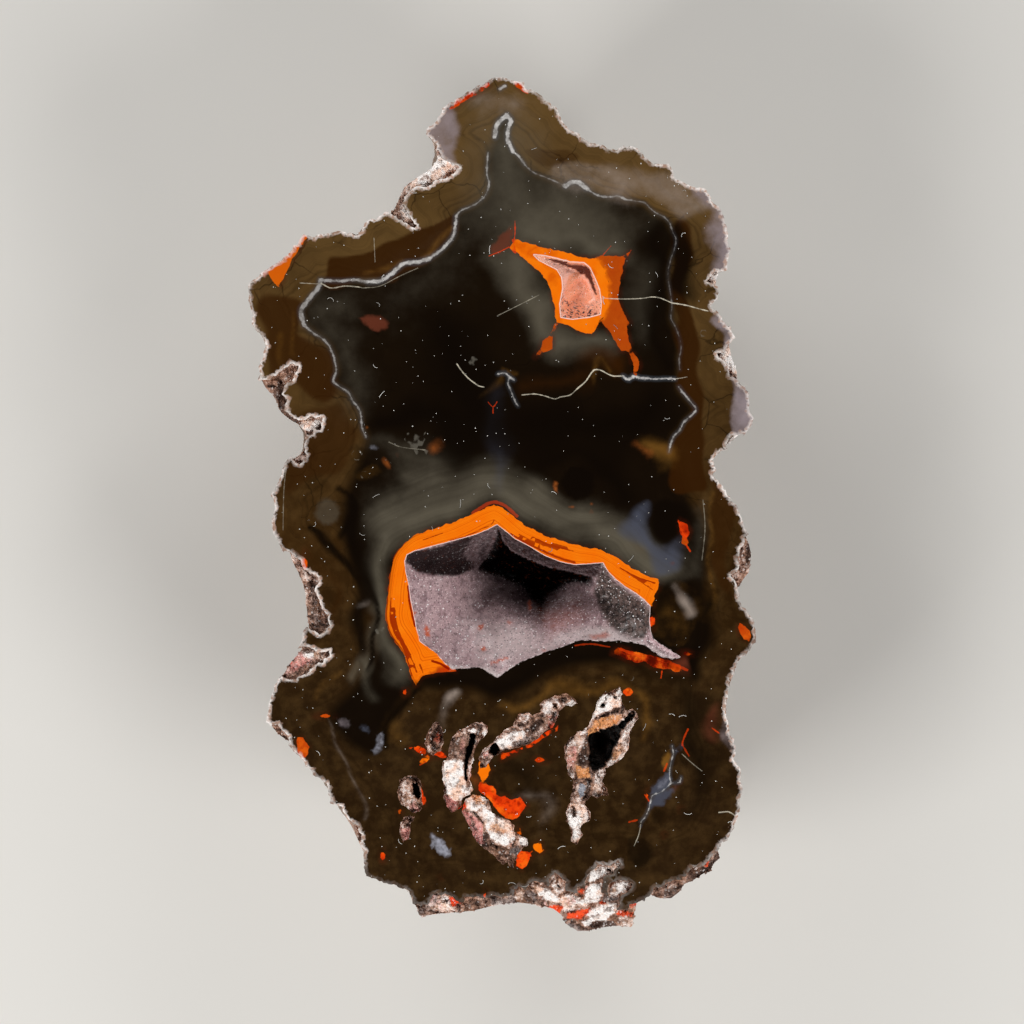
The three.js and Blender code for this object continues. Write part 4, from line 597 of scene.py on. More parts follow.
# Crumbly matrix in the plumes and on the broken rim, as tone, strength, softness, outline. Its dark brown
# areas are partly painted shade in the low places, and its near-black void areas painted shade in the deep
# holes
matrixAreas = [
    # the leaf, the oval and the bead
    ("umber", 1, 0.1, [(-6.4, -21.7), (-6, -23), (-6.3, -24), (-6.9, -24.5), (-7.3, -23.7),
        (-7.2, -22.7), (-6.8, -22.1)]),
    ("rust", 0.5, 0.2, [(-6.5, -22.2), (-6.1, -23), (-6.5, -24), (-7.1, -23.4)]),
    ("chalk", 0.7, 0.1, [(-7.7, -23.2), (-7.6, -24.4), (-7.2, -24.8), (-7, -24.6), (-7.4, -23.7)]),
    ("chalk", 0.5, 0.15, [(-10.3, -27.4), (-9.8, -27), (-9.3, -28.2), (-9, -29), (-8.2, -30),
        (-8.7, -30.6), (-9.7, -30), (-10.5, -28.7)]),
    ("grey", 0.35, 0.2, [(-10.3, -27.4), (-9.8, -27), (-9.2, -28.6), (-9.4, -29.6), (-10.4, -28.8)]),
    ("void", 1, 0.08, [(-9.1, -27.6), (-8.6, -27.6), (-8.3, -28.6), (-8.5, -29.2), (-8.9, -28.7)]),
    ("umber", 0.8, 0.1, [(-9.6, -26.9), (-8.5, -26.8), (-8.2, -27.7), (-8.4, -27.6), (-9, -27.3)]),
    ("pink", 0.5, 0.15, [(-9.7, -29.5), (-8.8, -29.4), (-8.3, -30.2), (-8.9, -30.6)]),
    ("pink", 0.7, 0.15, [(-10.2, -31.9), (-9.4, -31.8), (-9.2, -32.8), (-9.8, -33.4), (-10.3, -32.9)]),
    ("umber", 0.8, 0.1, [(-9.4, -30.9), (-8.8, -31.1), (-9.2, -31.6), (-9.6, -31.3)]),
    # the column and the strips beside it
    ("chalk", 1, 0.12, [(-6, -25.2), (-4.1, -25.2), (-3.8, -26.7), (-3.7, -28), (-4, -29.3),
        (-4.8, -29.3), (-5.7, -28.6), (-6.1, -27)]),
    ("umber", 0.45, 0.15, [(-5.1, -23), (-3.8, -22.5), (-3.3, -23.2), (-3.7, -24.7), (-4.8, -25.2),
        (-5.3, -24.2)]),
    ("pink", 0.4, 0.15, [(-4.2, -23), (-3.6, -23), (-3.9, -24.6), (-4.6, -24.9)]),
    ("void", 0.9, 0.08, [(-3.2, -22.5), (-2.7, -22.8), (-2.9, -23.8), (-3.2, -24.6), (-3.6, -25.6),
        (-3.7, -26.6), (-3.5, -27.3), (-3.8, -27.1), (-3.85, -25.6), (-3.7, -24.2), (-3.3, -23.4)]),
    ("chalk", 0.9, 0.1, [(-3.6, -22.2), (-2.7, -21.9), (-2.8, -22.5), (-3.3, -22.7)]),
    ("chalk", 0.9, 0.1, [(-2.1, -22.3), (-1.5, -22.2), (-1.6, -22.8), (-2, -23)]),
    ("umber", 0.8, 0.1, [(-2.6, -21.6), (-1.8, -21.7), (-2.2, -22.3), (-2.6, -22.7)]),
    ("pink", 1, 0.1, [(-5.9, -28.6), (-5.3, -29), (-4.5, -29.5), (-4.6, -30.2), (-5.1, -30.7),
        (-5.5, -29.8)]),
    ("rust", 1, 0.1, [(-4.4, -30.2), (-4, -29.4), (-3.7, -28.2), (-3.5, -29.6), (-4.1, -30.4)]),
    ("rust", 0.9, 0.1, [(-2.7, -23.9), (-2.3, -23.6), (-2.4, -24.8), (-2.8, -24.9)]),
    ("chalk", 0.85, 0.1, [(-3, -24.8), (-2.5, -24.9), (-2.7, -26.2), (-3.1, -26.6), (-3.4, -26)]),
    ("chalk", 0.7, 0.1, [(-3.3, -25.9), (-2.9, -26.8), (-2.6, -27.5), (-3.2, -27.8), (-3.5, -26.8)]),
    ("pink", 0.6, 0.15, [(-3.3, -25.6), (-3, -26.6), (-2.8, -27.3), (-3.4, -27.2)]),
    ("chalk", 0.9, 0.1, [(-4, -29.2), (-3.7, -28), (-2.8, -27.7), (-2.3, -28.5), (-1.5, -28.8),
        (-1, -28.9), (-1.3, -29.3), (-1.9, -29.8), (-2.7, -30.2), (-3.6, -30.1)]),
    ("ochre", 0.7, 0.3, [(-3.4, -28.1), (-2.6, -28.1), (-2, -29), (-1.8, -29.6), (-2.6, -29.7),
        (-3.2, -28.9)]),
    # the arm
    ("chalk", 1, 0.12, [(-0.9, -23.4), (0.2, -22.7), (1.2, -22.4), (2.2, -22.4), (2, -23), (0.8, -24.1),
        (-0.1, -24.2), (-0.6, -23.6)]),
    ("void", 0.9, 0.08, [(-1.1, -23.7), (-0.7, -23.5), (-0.3, -24.3), (-0.9, -24.8), (-1.4, -24.5)]),
    ("chalk", 0.6, 0.1, [(-2.2, -24.9), (-1.8, -24), (-1.2, -23.4), (-1.4, -24.4), (-1.7, -25.2)]),
    ("pink", 0.6, 0.1, [(-2, -24.8), (-1.6, -24), (-1.5, -24.6), (-1.7, -25.1)]),
    ("grey", 0.8, 0.1, [(0.8, -23.7), (1.7, -23), (2.9, -22.8), (3, -23.2), (1.9, -23.8)]),
    ("umber", 0.5, 0.1, [(0, -22.5), (0.9, -21.9), (1.5, -21.9), (1.2, -22.4)]),
    ("chalk", 0.6, 0.12, [(1.4, -21.1), (2, -20.5), (2.7, -20.7), (2.6, -21.3), (1.7, -21.5)]),
    ("umber", 0.6, 0.1, [(1.5, -21.5), (2.7, -21.3), (2.5, -21.9), (1.7, -21.9)]),
    ("umber", 0.9, 0.1, [(2.6, -22.1), (3.1, -21.4), (3.8, -21), (4.2, -21.4), (3.7, -22.2), (3, -22.5)]),
    ("chalk", 0.6, 0.15, [(3.8, -19.5), (4.5, -19), (5.3, -18.9), (5.7, -19.7), (5.3, -20.5),
        (4.3, -20.8), (3.8, -20.3)]),
    ("umber", 0.9, 0.08, [(4.9, -19.5), (5.5, -19.5), (5.4, -20), (5, -20)]),
    ("umber", 0.8, 0.08, [(5.6, -19), (6.4, -18.9), (6.5, -19.4), (5.9, -19.5)]),
    ("chalk", 0.9, 0.1, [(6.3, -19.7), (6.9, -19.1), (7.5, -19.7), (6.9, -20)]),
    ("pink", 0.4, 0.15, [(4.6, -20.8), (5.5, -20.4), (5.5, -21.4), (4.7, -22.4), (4.3, -21.7)]),
    ("rust", 0.8, 0.12, [(4.6, -21.8), (5.5, -21.4), (5.4, -22), (4.8, -22.5)]),
    # the foot
    ("pink", 0.9, 0.1, [(-4, -30.4), (-3.5, -30.4), (-2.5, -31), (-1.9, -32), (-2.2, -33), (-1.7, -33.8),
        (-2.5, -33.5), (-3.2, -32.2), (-3.7, -31.3)]),
    ("grey", 0.5, 0.1, [(-3.4, -30.8), (-2.8, -31.4), (-2.3, -32.5), (-2.6, -32.6), (-3.2, -31.8)]),
    ("umber", 0.9, 0.06, [(-3.6, -30.2), (-2.8, -30.4), (-2.2, -31.1), (-1.8, -31.8), (-2.4, -31.3),
        (-2.9, -30.6)]),
    ("chalk", 0.95, 0.15, [(-2.1, -29.7), (-1.1, -30.4), (-0.3, -31), (0.9, -31.7), (1.3, -32.8),
        (0.7, -33.8), (-0.3, -33.7), (-1.3, -33), (-1.9, -31.7)]),
    ("ochre", 0.55, 0.5, [(-1.3, -31.4), (-0.3, -31.4), (0.5, -32.4), (-0.3, -32.8), (-1.5, -32.2)]),
    ("umber", 0.8, 0.08, [(-1.2, -33.3), (-0.4, -33.9), (-0.5, -34.2), (-1.3, -33.7)]),
    ("grey", 0.9, 0.1, [(0.7, -34.2), (1.4, -33.7), (1.7, -34.1), (1.2, -34.8), (0.7, -34.8)]),
    ("chalk", 0.9, 0.1, [(1.6, -33), (2.3, -32.9), (2.6, -33.5), (2.2, -33.9), (1.6, -33.6)]),
    ("rust", 0.5, 0.1, [(0.4, -33.6), (1, -33.3), (0.9, -33.9)]),
    # the tower round its deep hole
    ("chalk", 1, 0.1, [(9.5, -19.2), (9.9, -18.5), (10.9, -18.8), (11.6, -18), (11.9, -18.2),
        (12, -19.7), (10.9, -20.1), (9.9, -20.4), (9.3, -20.8), (8.9, -21.4), (8.2, -22.4), (7.7, -22.8),
        (8.2, -21.9), (8.9, -20.7)]),
    ("void", 0.8, 0.06, [(10.2, -19), (10.4, -19), (10.4, -19.2), (10.2, -19.2)]),
    ("void", 0.8, 0.06, [(9.9, -19.6), (10.2, -19.6), (10.1, -19.9), (9.8, -19.9)]),
    ("void", 0.7, 0.06, [(11.1, -18.8), (11.4, -18.9), (11.3, -19.1), (11, -19)]),
    ("umber", 1, 0.08, [(9.6, -20.7), (10.3, -20.4), (11.7, -20), (11.6, -20.4), (10.5, -20.8),
        (9.7, -21)]),
    ("ochre", 0.9, 0.12, [(9.1, -21.5), (9.7, -21), (10.9, -20.8), (11.9, -20.5), (12, -21.1),
        (11.4, -21.6), (10.6, -22), (9.7, -22.2), (8.9, -22.7), (8.5, -23), (8.4, -22.5)]),
    ("void", 1, 0.08, [(8.7, -22.7), (9.7, -22.3), (10.7, -22), (11.5, -21.8), (12.1, -21.2),
        (12.7, -20.5), (13.3, -20.4), (13.1, -21), (12.3, -21.6), (11.9, -22.7), (11.3, -23.7),
        (10.9, -24.9), (10.3, -25.8), (9.5, -26.2), (8.9, -26.4), (8.5, -25.7), (8.6, -24.4),
        (8.5, -23.4)]),
    ("chalk", 0.6, 0.1, [(13.2, -21), (13.4, -21.4), (12.7, -22.7), (12.4, -23.4), (12.5, -24.4),
        (11.9, -25.2), (10.9, -25.8), (10.4, -25.9), (10.8, -25), (11.2, -24), (11.7, -23), (12.3, -21.8)]),
    ("ochre", 0.5, 0.1, [(10.8, -25.2), (11.2, -24), (11.8, -23), (11.9, -24), (11.4, -25.2)]),
    ("chalk", 0.5, 0.12, [(7.5, -22.7), (6.7, -23.4), (6.2, -24), (6.3, -25.2), (6.5, -26.8),
        (7.2, -27.1), (7.1, -25.7), (7.5, -24.4), (8.3, -23.2)]),
    ("pink", 0.6, 0.15, [(6.5, -23.9), (7.4, -23.8), (7.4, -25.2), (7, -26.2), (6.5, -26)]),
    ("umber", 0.75, 0.15, [(7.4, -24.7), (8.4, -23.4), (8.6, -24.7), (8.7, -25.8), (7.5, -25.6)]),
    ("ochre", 0.9, 0.12, [(7.2, -25.8), (8.5, -26), (8.7, -27), (7.5, -27.1)]),
    ("pearl", 1, 0.1, [(7.7, -27.5), (8.2, -27.6), (8.3, -28.3), (8.1, -28.9), (7.8, -29), (7.5, -28.2)]),
    ("umber", 0.95, 0.08, [(8.4, -27.2), (8.9, -27.3), (8.8, -28.4), (8.4, -29), (7.7, -29.3),
        (8.2, -28.9)]),
    ("chalk", 0.5, 0.1, [(9.5, -26.2), (10.3, -26), (10.2, -27.2), (9.9, -28.2), (9.4, -28.9),
        (8.9, -28.9), (9.1, -27.7), (9.2, -26.7)]),
    ("chalk", 0.8, 0.1, [(6.7, -29.5), (7.7, -29.5), (8.3, -29.8), (8.6, -30.7), (8.5, -31.7),
        (7.9, -32.2), (7.9, -33), (7.3, -33.5), (6.7, -33.5), (6.9, -32.4), (6.4, -31.4), (6.3, -30.2)]),
    ("umber", 0.7, 0.1, [(6.8, -29.8), (7.2, -29.8), (7.4, -30.8), (7, -30.9)]),
    # the broken rim along the bottom
    ("chalk", 1, 0.08, [(-10.3, -37.9), (-9.8, -37.8), (-9.1, -38.5), (-9.2, -38.9), (-9.8, -38.5)]),
    ("umber", 0.8, 0.15, [(-9.1, -39.1), (-7.8, -39.1), (-7.3, -40), (-6.3, -40.6), (-7.3, -40.4),
        (-8.8, -39.7)]),
    ("grey", 0.5, 0.2, [(-9, -40), (-7.8, -39.8), (-6.6, -40.8), (-7.3, -41.2), (-8.8, -41.5)]),
    ("chalk", 0.85, 0.1, [(-7.6, -39.2), (-7.1, -38.6), (-6.1, -38.6), (-5.1, -39), (-4.6, -39.7),
        (-4.9, -40.3), (-6.3, -40.3), (-7.2, -40)]),
    ("pink", 0.4, 0.2, [(-7.6, -39.2), (-7.1, -38.6), (-6.1, -38.6), (-6, -40.3), (-7.2, -40)]),
    ("umber", 0.9, 0.04, [(-6.2, -39.35), (-5.4, -39.3), (-5.4, -39.45), (-6.2, -39.5)]),
    ("rust", 1, 0.1, [(-5.5, -38.9), (-4.8, -38.9), (-4.3, -39.4), (-4.7, -39.9), (-5.3, -39.4)]),
    ("umber", 0.9, 0.08, [(-4.6, -39.6), (-4.1, -39.6), (-4.2, -40.5), (-4.6, -40.5)]),
    ("grey", 0.8, 0.12, [(-1.3, -39), (1.2, -38.9), (1.2, -39.8), (-1.1, -39.8)]),
    ("chalk", 0.5, 0.1, [(1.1, -38), (1.9, -37.8), (2.1, -39.2), (1.2, -39.1)]),
    ("grey", 0.7, 0.1, [(2.1, -38), (2.9, -38.2), (3.7, -39.7), (2.7, -39.7), (2, -38.9)]),
    ("umber", 0.5, 0.1, [(2.1, -38.2), (2.7, -38.6), (3.2, -39.6), (2.4, -39.4)]),
    ("chalk", 1, 0.08, [(2.9, -37.6), (3.9, -37.9), (5, -38.5), (5.8, -39.2), (5.7, -39.6), (4.2, -39.2),
        (3.2, -38.4)]),
    ("pink", 0.4, 0.1, [(3.2, -38.6), (4.5, -39.4), (4.6, -40), (3.6, -39.6)]),
    ("chalk", 0.6, 0.08, [(5, -36.5), (5.5, -37.2), (6, -36.8), (6.4, -37.9), (5.9, -38.7), (5.2, -38.4),
        (4.8, -37.6)]),
    ("umber", 0.6, 0.05, [(5.3, -37), (5.5, -37), (5.7, -38), (5.4, -38)]),
    ("chalk", 0.95, 0.1, [(5.7, -38.9), (6.7, -38.6), (7.7, -38.9), (7.7, -39.5), (7, -40.2),
        (6.2, -40.5), (5.8, -39.7)]),
    ("pink", 0.45, 0.15, [(5.9, -39.1), (7, -38.9), (7.4, -39.4), (6.6, -40)]),
    ("rust", 1, 0.1, [(4.2, -39.9), (5.3, -39.7), (6, -39.9), (5.7, -40.6), (4.7, -40.3)]),
    ("rust", 1, 0.1, [(6.3, -40.6), (7.5, -40.3), (8.7, -40.1), (8.5, -40.8), (7.2, -41.1), (6.4, -41.1)]),
    ("rust", 0.8, 0.1, [(7.1, -38.4), (7.9, -38.1), (8.4, -37.8), (8.6, -38.2), (8, -38.7)]),
    ("rust", 0.9, 0.08, [(9.5, -39.4), (10.3, -39.2), (10.6, -39.5), (9.7, -39.8)]),
    ("rust", 0.8, 0.1, [(11.1, -40.4), (11.9, -40.2), (13.1, -40.6), (12.9, -41), (11.5, -40.8)]),
    ("rust", 0.7, 0.1, [(12.4, -39.6), (13.4, -39.3), (13.5, -39.8), (12.8, -40.2)]),
    ("chalk", 1, 0.08, [(8.2, -38), (8.9, -37.6), (9.8, -37.7), (10, -38.2), (9.7, -39.2), (8.7, -39.6),
        (7.9, -39.9), (7.7, -39.4), (8.3, -38.7)]),
    ("chalk", 0.95, 0.08, [(8.2, -37.2), (8.6, -36.4), (9.4, -35.8), (10.7, -35.8), (11.7, -35.5),
        (11.8, -35.9), (10.8, -36.5), (9.7, -37), (8.7, -37.6)]),
    ("umber", 0.7, 0.05, [(10.3, -36), (10.8, -36), (10.8, -36.3), (10.3, -36.3)]),
    ("chalk", 0.95, 0.08, [(10.7, -38), (11.5, -37.3), (13, -37.3), (12.6, -38.2), (11.5, -38.8),
        (10.7, -38.7)]),
    ("grey", 0.75, 0.1, [(10, -38.9), (10.9, -38.8), (11.9, -39.1), (10.9, -39.5), (10.1, -39.4)]),
    ("chalk", 1, 0.08, [(8.3, -40.7), (9.2, -40), (10.4, -39.6), (11.4, -39.6), (11.5, -40.1),
        (10.9, -40.7), (10, -41.3), (8.9, -41.3)]),
    ("chalk", 0.9, 0.06, [(7.9, -41.4), (8.7, -41.1), (9.1, -41.4), (8.7, -41.8), (8.1, -41.8)]),
    ("umber", 1, 0.1, [(9.2, -41.4), (10.3, -41.3), (11.1, -41.2), (11.5, -42), (9.7, -42.3), (9.1, -42)]),
    ("chalk", 0.4, 0.1, [(11.3, -40.9), (13.1, -41), (13.3, -41.9), (12.2, -42.3), (11.6, -41.7)]),
    ("grey", 0.85, 0.15, [(6.5, -41.4), (7.9, -42.2), (9.7, -42.4), (11.7, -42.4), (13.5, -42),
        (13.7, -43.3), (7.7, -43.4), (6.4, -42.2)]),
    # the rest of the broken rim
    ("umber", 0.8, 0.3, [(14.4, -39), (16.2, -38.2), (18.4, -37.4), (20.4, -36), (21.6, -34.4),
        (22.4, -35.4), (20.4, -38), (17, -39.8), (14.6, -39.8)]),
    ("grey", 0.5, 0.3, [(15.4, -39), (18.4, -38), (21, -36.2), (21.6, -35.4), (20.4, -38), (17, -39.8)]),
    ("rust", 0.8, 0.12, [(20, -35.4), (20.6, -35.4), (20.5, -36), (20, -35.9)]),
    ("umber", 0.5, 0.3, [(-20.4, -5.4), (-19.2, -7.2), (-18.8, -10.4), (-19.2, -12.6), (-18.2, -12.2),
        (-17.8, -8.4), (-19.4, -5.4)]),
    ("grey", 0.5, 0.3, [(-19.4, -6.6), (-18.6, -8.4), (-18.2, -11.4), (-18.8, -12.4), (-19.4, -10)]),
    ("rust", 0.7, 0.2, [(-21.6, -15.4), (-20.4, -14.8), (-19.8, -15.4), (-20.8, -16.2)]),
    ("pink", 0.7, 0.3, [(-20.8, -14.4), (-18.6, -14.4), (-18, -15), (-19.8, -15.8), (-21.8, -17)]),
    ("chalk", 0.8, 0.15, [(-20.4, -14.4), (-18.4, -14.2), (-17.8, -14.8), (-19.4, -15.2)]),
    ("umber", 0.8, 0.2, [(-22.4, 13), (-21.6, 12), (-21.2, 9.6), (-20.4, 8.8), (-21.8, 8.4),
        (-22.8, 10.6)]),
    ("chalk", 0.9, 0.15, [(-20, 9), (-18.4, 9), (-18, 8.4), (-19.4, 7.6), (-20.4, 8)]),
    ("ochre", 0.4, 0.3, [(-10.4, 31.8), (-8.4, 32.6), (-6.4, 34.8), (-8.4, 34.6), (-10.6, 33)]),
    ("chalk", 0.85, 0.2, [(-10.4, 30.4), (-9.4, 31.2), (-8.8, 29.8), (-9.2, 28.6), (-10, 28.6)]),
    ("chalk", 0.8, 0.2, [(-8.6, 33.4), (-6.4, 35.4), (-4.6, 34.6), (-6.2, 32.8), (-8, 32), (-10, 31.6)]),
    ("chalk", 0.9, 0.15, [(20.8, 24), (22.8, 24.2), (22.8, 22.2), (20.8, 22.2)]),
    ("chalk", 0.9, 0.15, [(21, 16.4), (22.8, 16.4), (24.2, 14.4), (23.4, 13), (22.2, 14.4)]),
    ("chalk", 0.8, 0.15, [(23, 8.4), (25, 8.4), (23.8, 6), (22.4, 4.4), (21.6, 5.4)]),
    ("rust", 0.5, 0.25, [(-9.8, 32.2), (-8, 33.6), (-8.8, 33.8), (-10.2, 32.8)]),
    ("umber", 0.5, 0.2, [(23.4, -1), (24.4, -3.4), (24.2, -6.2), (25.4, -6), (25.2, -2.4), (24.4, -0.6)]),
    ("chalk", 0.6, 0.2, [(23, -1.4), (23.8, -3.4), (23.8, -5.4), (24.2, -3.2), (23.6, -1)]),
]
# The pocket's and the crater's colours, painted shade and painted light among them, painted the same way on
# their crystals
pocketAreas = [
    # the dark maroon band along the pocket's upper rim is painted shade
    ("umber", 1, 0.06, [(3.7, 25.1), (5.2, 24.9), (6.8, 24.5), (8, 24.3), (8.7, 23.9), (9, 22.8),
        (9.4, 21.4), (9.2, 21.3), (8.6, 22.8), (8.1, 23.3), (7.2, 23.9), (5.8, 24.4), (4.2, 24.9)]),
    ("chalk", 0.7, 0.1, [(3.1, 25.2), (4.4, 24.9), (6, 24.2), (7.4, 23.8), (6.6, 23.2), (6.2, 22),
        (6.1, 20), (6.2, 18.9), (5.6, 18.9), (5.8, 21.4), (5.7, 23.6), (4.4, 24.5)]),
    ("chalk", 0.6, 0.3, [(8.4, 20.2), (9.7, 20.8), (9.8, 19.6), (9, 19), (7.8, 18.9)]),
    ("chalk", 0.6, 0.12, [(7.6, 23.4), (8.4, 22.6), (8.9, 21), (9.4, 20.4), (8.8, 22.4), (8.2, 23.4)]),
    ("speck", 1, 0.5, [(5.8, 21.4), (7, 20.5), (8.2, 20), (9.9, 20.6), (9.9, 19), (9, 18.8), (5.7, 18.7)]),
]
craterAreas = [
    # painted shade of the deep hollow, then the walls: painted shade under the rims, painted light where they
    # catch it
    ("shade", 1, 0.75, [(-0.6, -1.4), (-0.9, -3.2), (-1.4, -4.8), (-2.3, -5.9), (-1.5, -6.5),
        (0.2, -7.1), (1.5, -7.7), (2.5, -8.5), (3.4, -9.6), (3.85, -11.2), (4.4, -10), (5.2, -8.75),
        (6.2, -7.9), (7.4, -7.75), (8.8, -8.05), (9.1, -7.2), (9.7, -5.9), (10, -4.8), (5, -3.6),
        (1.4, -2.2)]),
    ("shade", 0.6, 1.8, [(-3.8, -5.6), (-2.6, -7.6), (-0.6, -8.8), (1, -10), (2.6, -11.4), (3.9, -12.6),
        (5, -10.8), (6.6, -8.9), (8.8, -8.5), (6, -6.6), (0, -4)]),
    ("umber", 0.95, 0.2, [(-9.9, -4.4), (-8.3, -4.2), (-6.3, -3.7), (-4.3, -3), (-2.3, -2.4),
        (-0.6, -1.6), (-0.9, -3.3), (-1.7, -5), (-2.7, -6.1), (-4.4, -6.8), (-6.7, -6.8), (-8.7, -6.4),
        (-9.7, -5.4)]),
    ("shade", 0.8, 1.3, [(-0.5, -1.6), (-2.6, -3.2), (-3.4, -4.6), (-2.4, -6.2), (-1.4, -6), (-0.8, -4)]),
    ("umber", 0.8, 0.12, [(-0.5, -1.6), (0.08, -3.3), (0.9, -4.3), (2.55, -5.1), (4.86, -5.95),
        (6.5, -6.28), (8.8, -6.84), (9.4, -7), (9.9, -6.2), (10.1, -5), (5, -3.8), (1.4, -2.4),
        (-0.1, -1.2)]),
    ("umber", 0.3, 1, [(4.2, -8.6), (8.8, -8.3), (9, -10.4), (6.6, -12), (4.4, -12.6)]),
    ("rust", 0.22, 1.6, [(3.4, -10.6), (7.6, -9.2), (8.6, -11), (5, -13)]),
    ("olive", 1, 0.4, [(9.5, -7.1), (10.1, -5.6), (10.9, -7.2), (12.2, -8.2), (13.7, -9.2),
        (14.8, -10.2), (14.8, -11.4), (14.2, -13), (12.8, -13.4), (10.8, -12), (9.9, -10.4), (9.2, -8.6)]),
    ("chalk", 0.5, 0.7, [(5.4, -12.6), (8.4, -11.8), (11.4, -12.6), (13.6, -13.4), (10.8, -13.6),
        (6.6, -13.5), (3.8, -14.6)]),
    ("chalk", 0.6, 0.6, [(8.6, -12.4), (10.4, -11.8), (12.6, -12.7), (14, -13.2), (13, -13.8),
        (9.6, -13.6)]),
    ("chalk", 0.5, 1.8, [(-2.6, -11.8), (1.4, -11.6), (4, -13), (3.6, -14.6), (0.6, -15.6), (-2.4, -15.2)]),
    ("chalk", 0.7, 0.25, [(-5.4, -15.6), (-3.4, -16), (-1.4, -15.9), (-0.4, -16.6), (0.4, -16.2),
        (-0.6, -17.2), (-2.4, -16.5), (-5.6, -16.3)]),
    ("umber", 0.6, 0.15, [(14.2, -13), (15.6, -14), (17.4, -15), (16.2, -14.9), (14.8, -14.2)]),
    ("chalk", 0.6, 0.12, [(13.6, -13.3), (15.2, -13.9), (16.4, -14.6), (17.6, -15.2), (16.2, -15.4),
        (14.4, -14.4)]),
    ("rust", 0.9, 0.08, [(-7.7, -11.6), (-7.4, -12.2), (-7.3, -13), (-7.7, -12.8), (-7.9, -12)]),
    ("rust", 0.9, 0.08, [(-2.5, -11.9), (-2, -11.7), (-2, -12.1), (-2.4, -12.3)]),
    ("rust", 0.9, 0.08, [(-2.2, -14), (-1.7, -13.9), (-1.8, -14.4), (-2.2, -14.3)]),
    ("rust", 0.8, 0.05, [(2.5, -9.3), (2.8, -9.3), (2.85, -10.4), (2.6, -10.4)]),
    ("rust", 0.6, 0.15, [(0.4, -11.4), (1, -11.4), (1, -11.7), (0.5, -11.7)]),
    ("rust", 0.5, 0.2, [(8.6, -12.8), (10.4, -12.4), (10.8, -12.9), (9, -13.2)]),
    ("rust", 0.5, 0.1, [(4, -14.1), (4.3, -14.1), (4.3, -14.4), (4, -14.4)]),
    ("rust", 0.7, 0.06, [(-9, -10.4), (-8.7, -10.4), (-8.7, -10.8), (-9, -10.8)]),
    ("rust", 0.7, 0.06, [(-1.2, -15.4), (0.6, -14.9), (0.6, -15.1), (-1.2, -15.7)]),
]
softTones = ("smoke", "mist", "amber", "gold", "shadow", "lilac", "stain", "haze", "frost", "ember", "blush")
matrixTones = ("chalk", "pink", "umber", "rust", "ochre", "grey", "pearl", "void")
druseTones = ("shade", "umber", "chalk", "olive", "rust", "speck")
# Smooth sway that gives what is painted its natural edges: size in mm, reach in mm, seed
sway = {"crisp": (0.6, 0.14, 40), "cloud": (3.5, 1.3, 21), "floor": (0.45, 0.16, 50),
        "matrix": (0.6, 0.26, 50), "druse": (0.4, 0.12, 60)}

# The stone, in mm
agate = {
    # Longest edges of the mesh, and how far below the face the finer ones go
    "lipEdge": 0.19, "facePitch": 0.34, "markStep": 0.26, "rindEdge": 1.1, "wallEdge": 0.66, "crumbEdge": 0.2,
    "ledgeEdge": 0.28, "hiddenEdge": 3, "wallReach": 2.5, "ledgeReach": 1.5, "plumeReach": 2.6,
    # Clouds softer than this get no edges in the mesh; marks and grid keep this far from rims and each other
    "crisp": 0.25, "markMargin": 0.1, "markGap": 0.06, "gridMargin": 0.16, "gridGap": 0.17,
    "hollows": {"crater": (0, -10), "pocket": (7.5, 22)},  # a place inside each mouth
    "jag": [(1.5, 0.18), (0.55, 0.2), (0.26, 0.13)],  # size and reach of the broken lip's steps
    "plumeJag": 0.75, "mouthJag": 0.1,  # shares of it
    "rindGrains": [(2.6, 0.34), (1.1, 0.22), (0.45, 0.10)],  # size and height of the rind's lumps
    "evening": 10, "rindFade": 1.2, "resting": 0.02,
    # Crumbly floors: how high they lie, how far their look spreads, and their depths below the polish
    "floorLow": 19, "crumbLow": 18, "crumbSpread": 1.6, "floorLumps": [(1.3, 0.45), (0.6, 0.35), (0.3, 0.25)],
    "plumeDepth": 0.6, "ledgeDepth": 0.7, "voidDepth": 2.4, "umberDepth": 0.35,
    "rimDrop": 0.2, "deepest": 3.2,
}


# The CAD node's mesh with its doubles merged, as corners (mm, from the outline's zero) and triangles
def cadArrays(name):
    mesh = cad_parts[name].data
    flat = np.empty(len(mesh.vertices) * 3)
    mesh.vertices.foreach_get("co", flat)
    corners = flat.reshape(-1, 3) / mm
    corners[:, :2] -= shift
    _, first, group = np.unique(corners.round(3), axis=0, return_index=True, return_inverse=True)
    return corners[first], np.array([group.ravel()[list(p.vertices)] for p in mesh.polygons])


def meshOf(corners, faces):
    made = bmesh.new()
    points = [made.verts.new(c) for c in corners]
    for face in faces:
        made.faces.new([points[n] for n in face])
    made.normal_update()
    return made


# Splits every edge that is longer than the target for its place
def refine(mesh, longest):
    for _ in range(9):
        mesh.verts.index_update()
        corners = np.array([v.co[:] for v in mesh.verts])
        edges = list(mesh.edges)
        ends = corners[np.array([[v.index for v in e.verts] for e in edges])]
        tooLong = np.linalg.norm(ends[:, 1] - ends[:, 0], axis=1) > longest(ends)
        if not tooLong.any():
            break
        bmesh.ops.subdivide_edges(mesh, edges=[edges[n] for n in np.flatnonzero(tooLong)], cuts=1)
        bmesh.ops.triangulate(mesh, faces=[f for f in mesh.faces if len(f.verts) > 3])
    mesh.verts.index_update()
    mesh.normal_update()


def relaxed(corners, edges, share, times):
    counts = np.bincount(edges.ravel(), minlength=len(corners))[:, None]
    for _ in range(times):
        total = np.zeros_like(corners)
        np.add.at(total, edges[:, 0], corners[edges[:, 1]])
        np.add.at(total, edges[:, 1], corners[edges[:, 0]])
        corners = corners + share[:, None] * 0.5 * (total / counts - corners)
    return corners


# Each triangle's normal, as long as twice its area
def triangleNormals(corners, faces):
    a, b, c = (corners[faces[:, n]] for n in range(3))
    return np.cross(b - a, c - a)


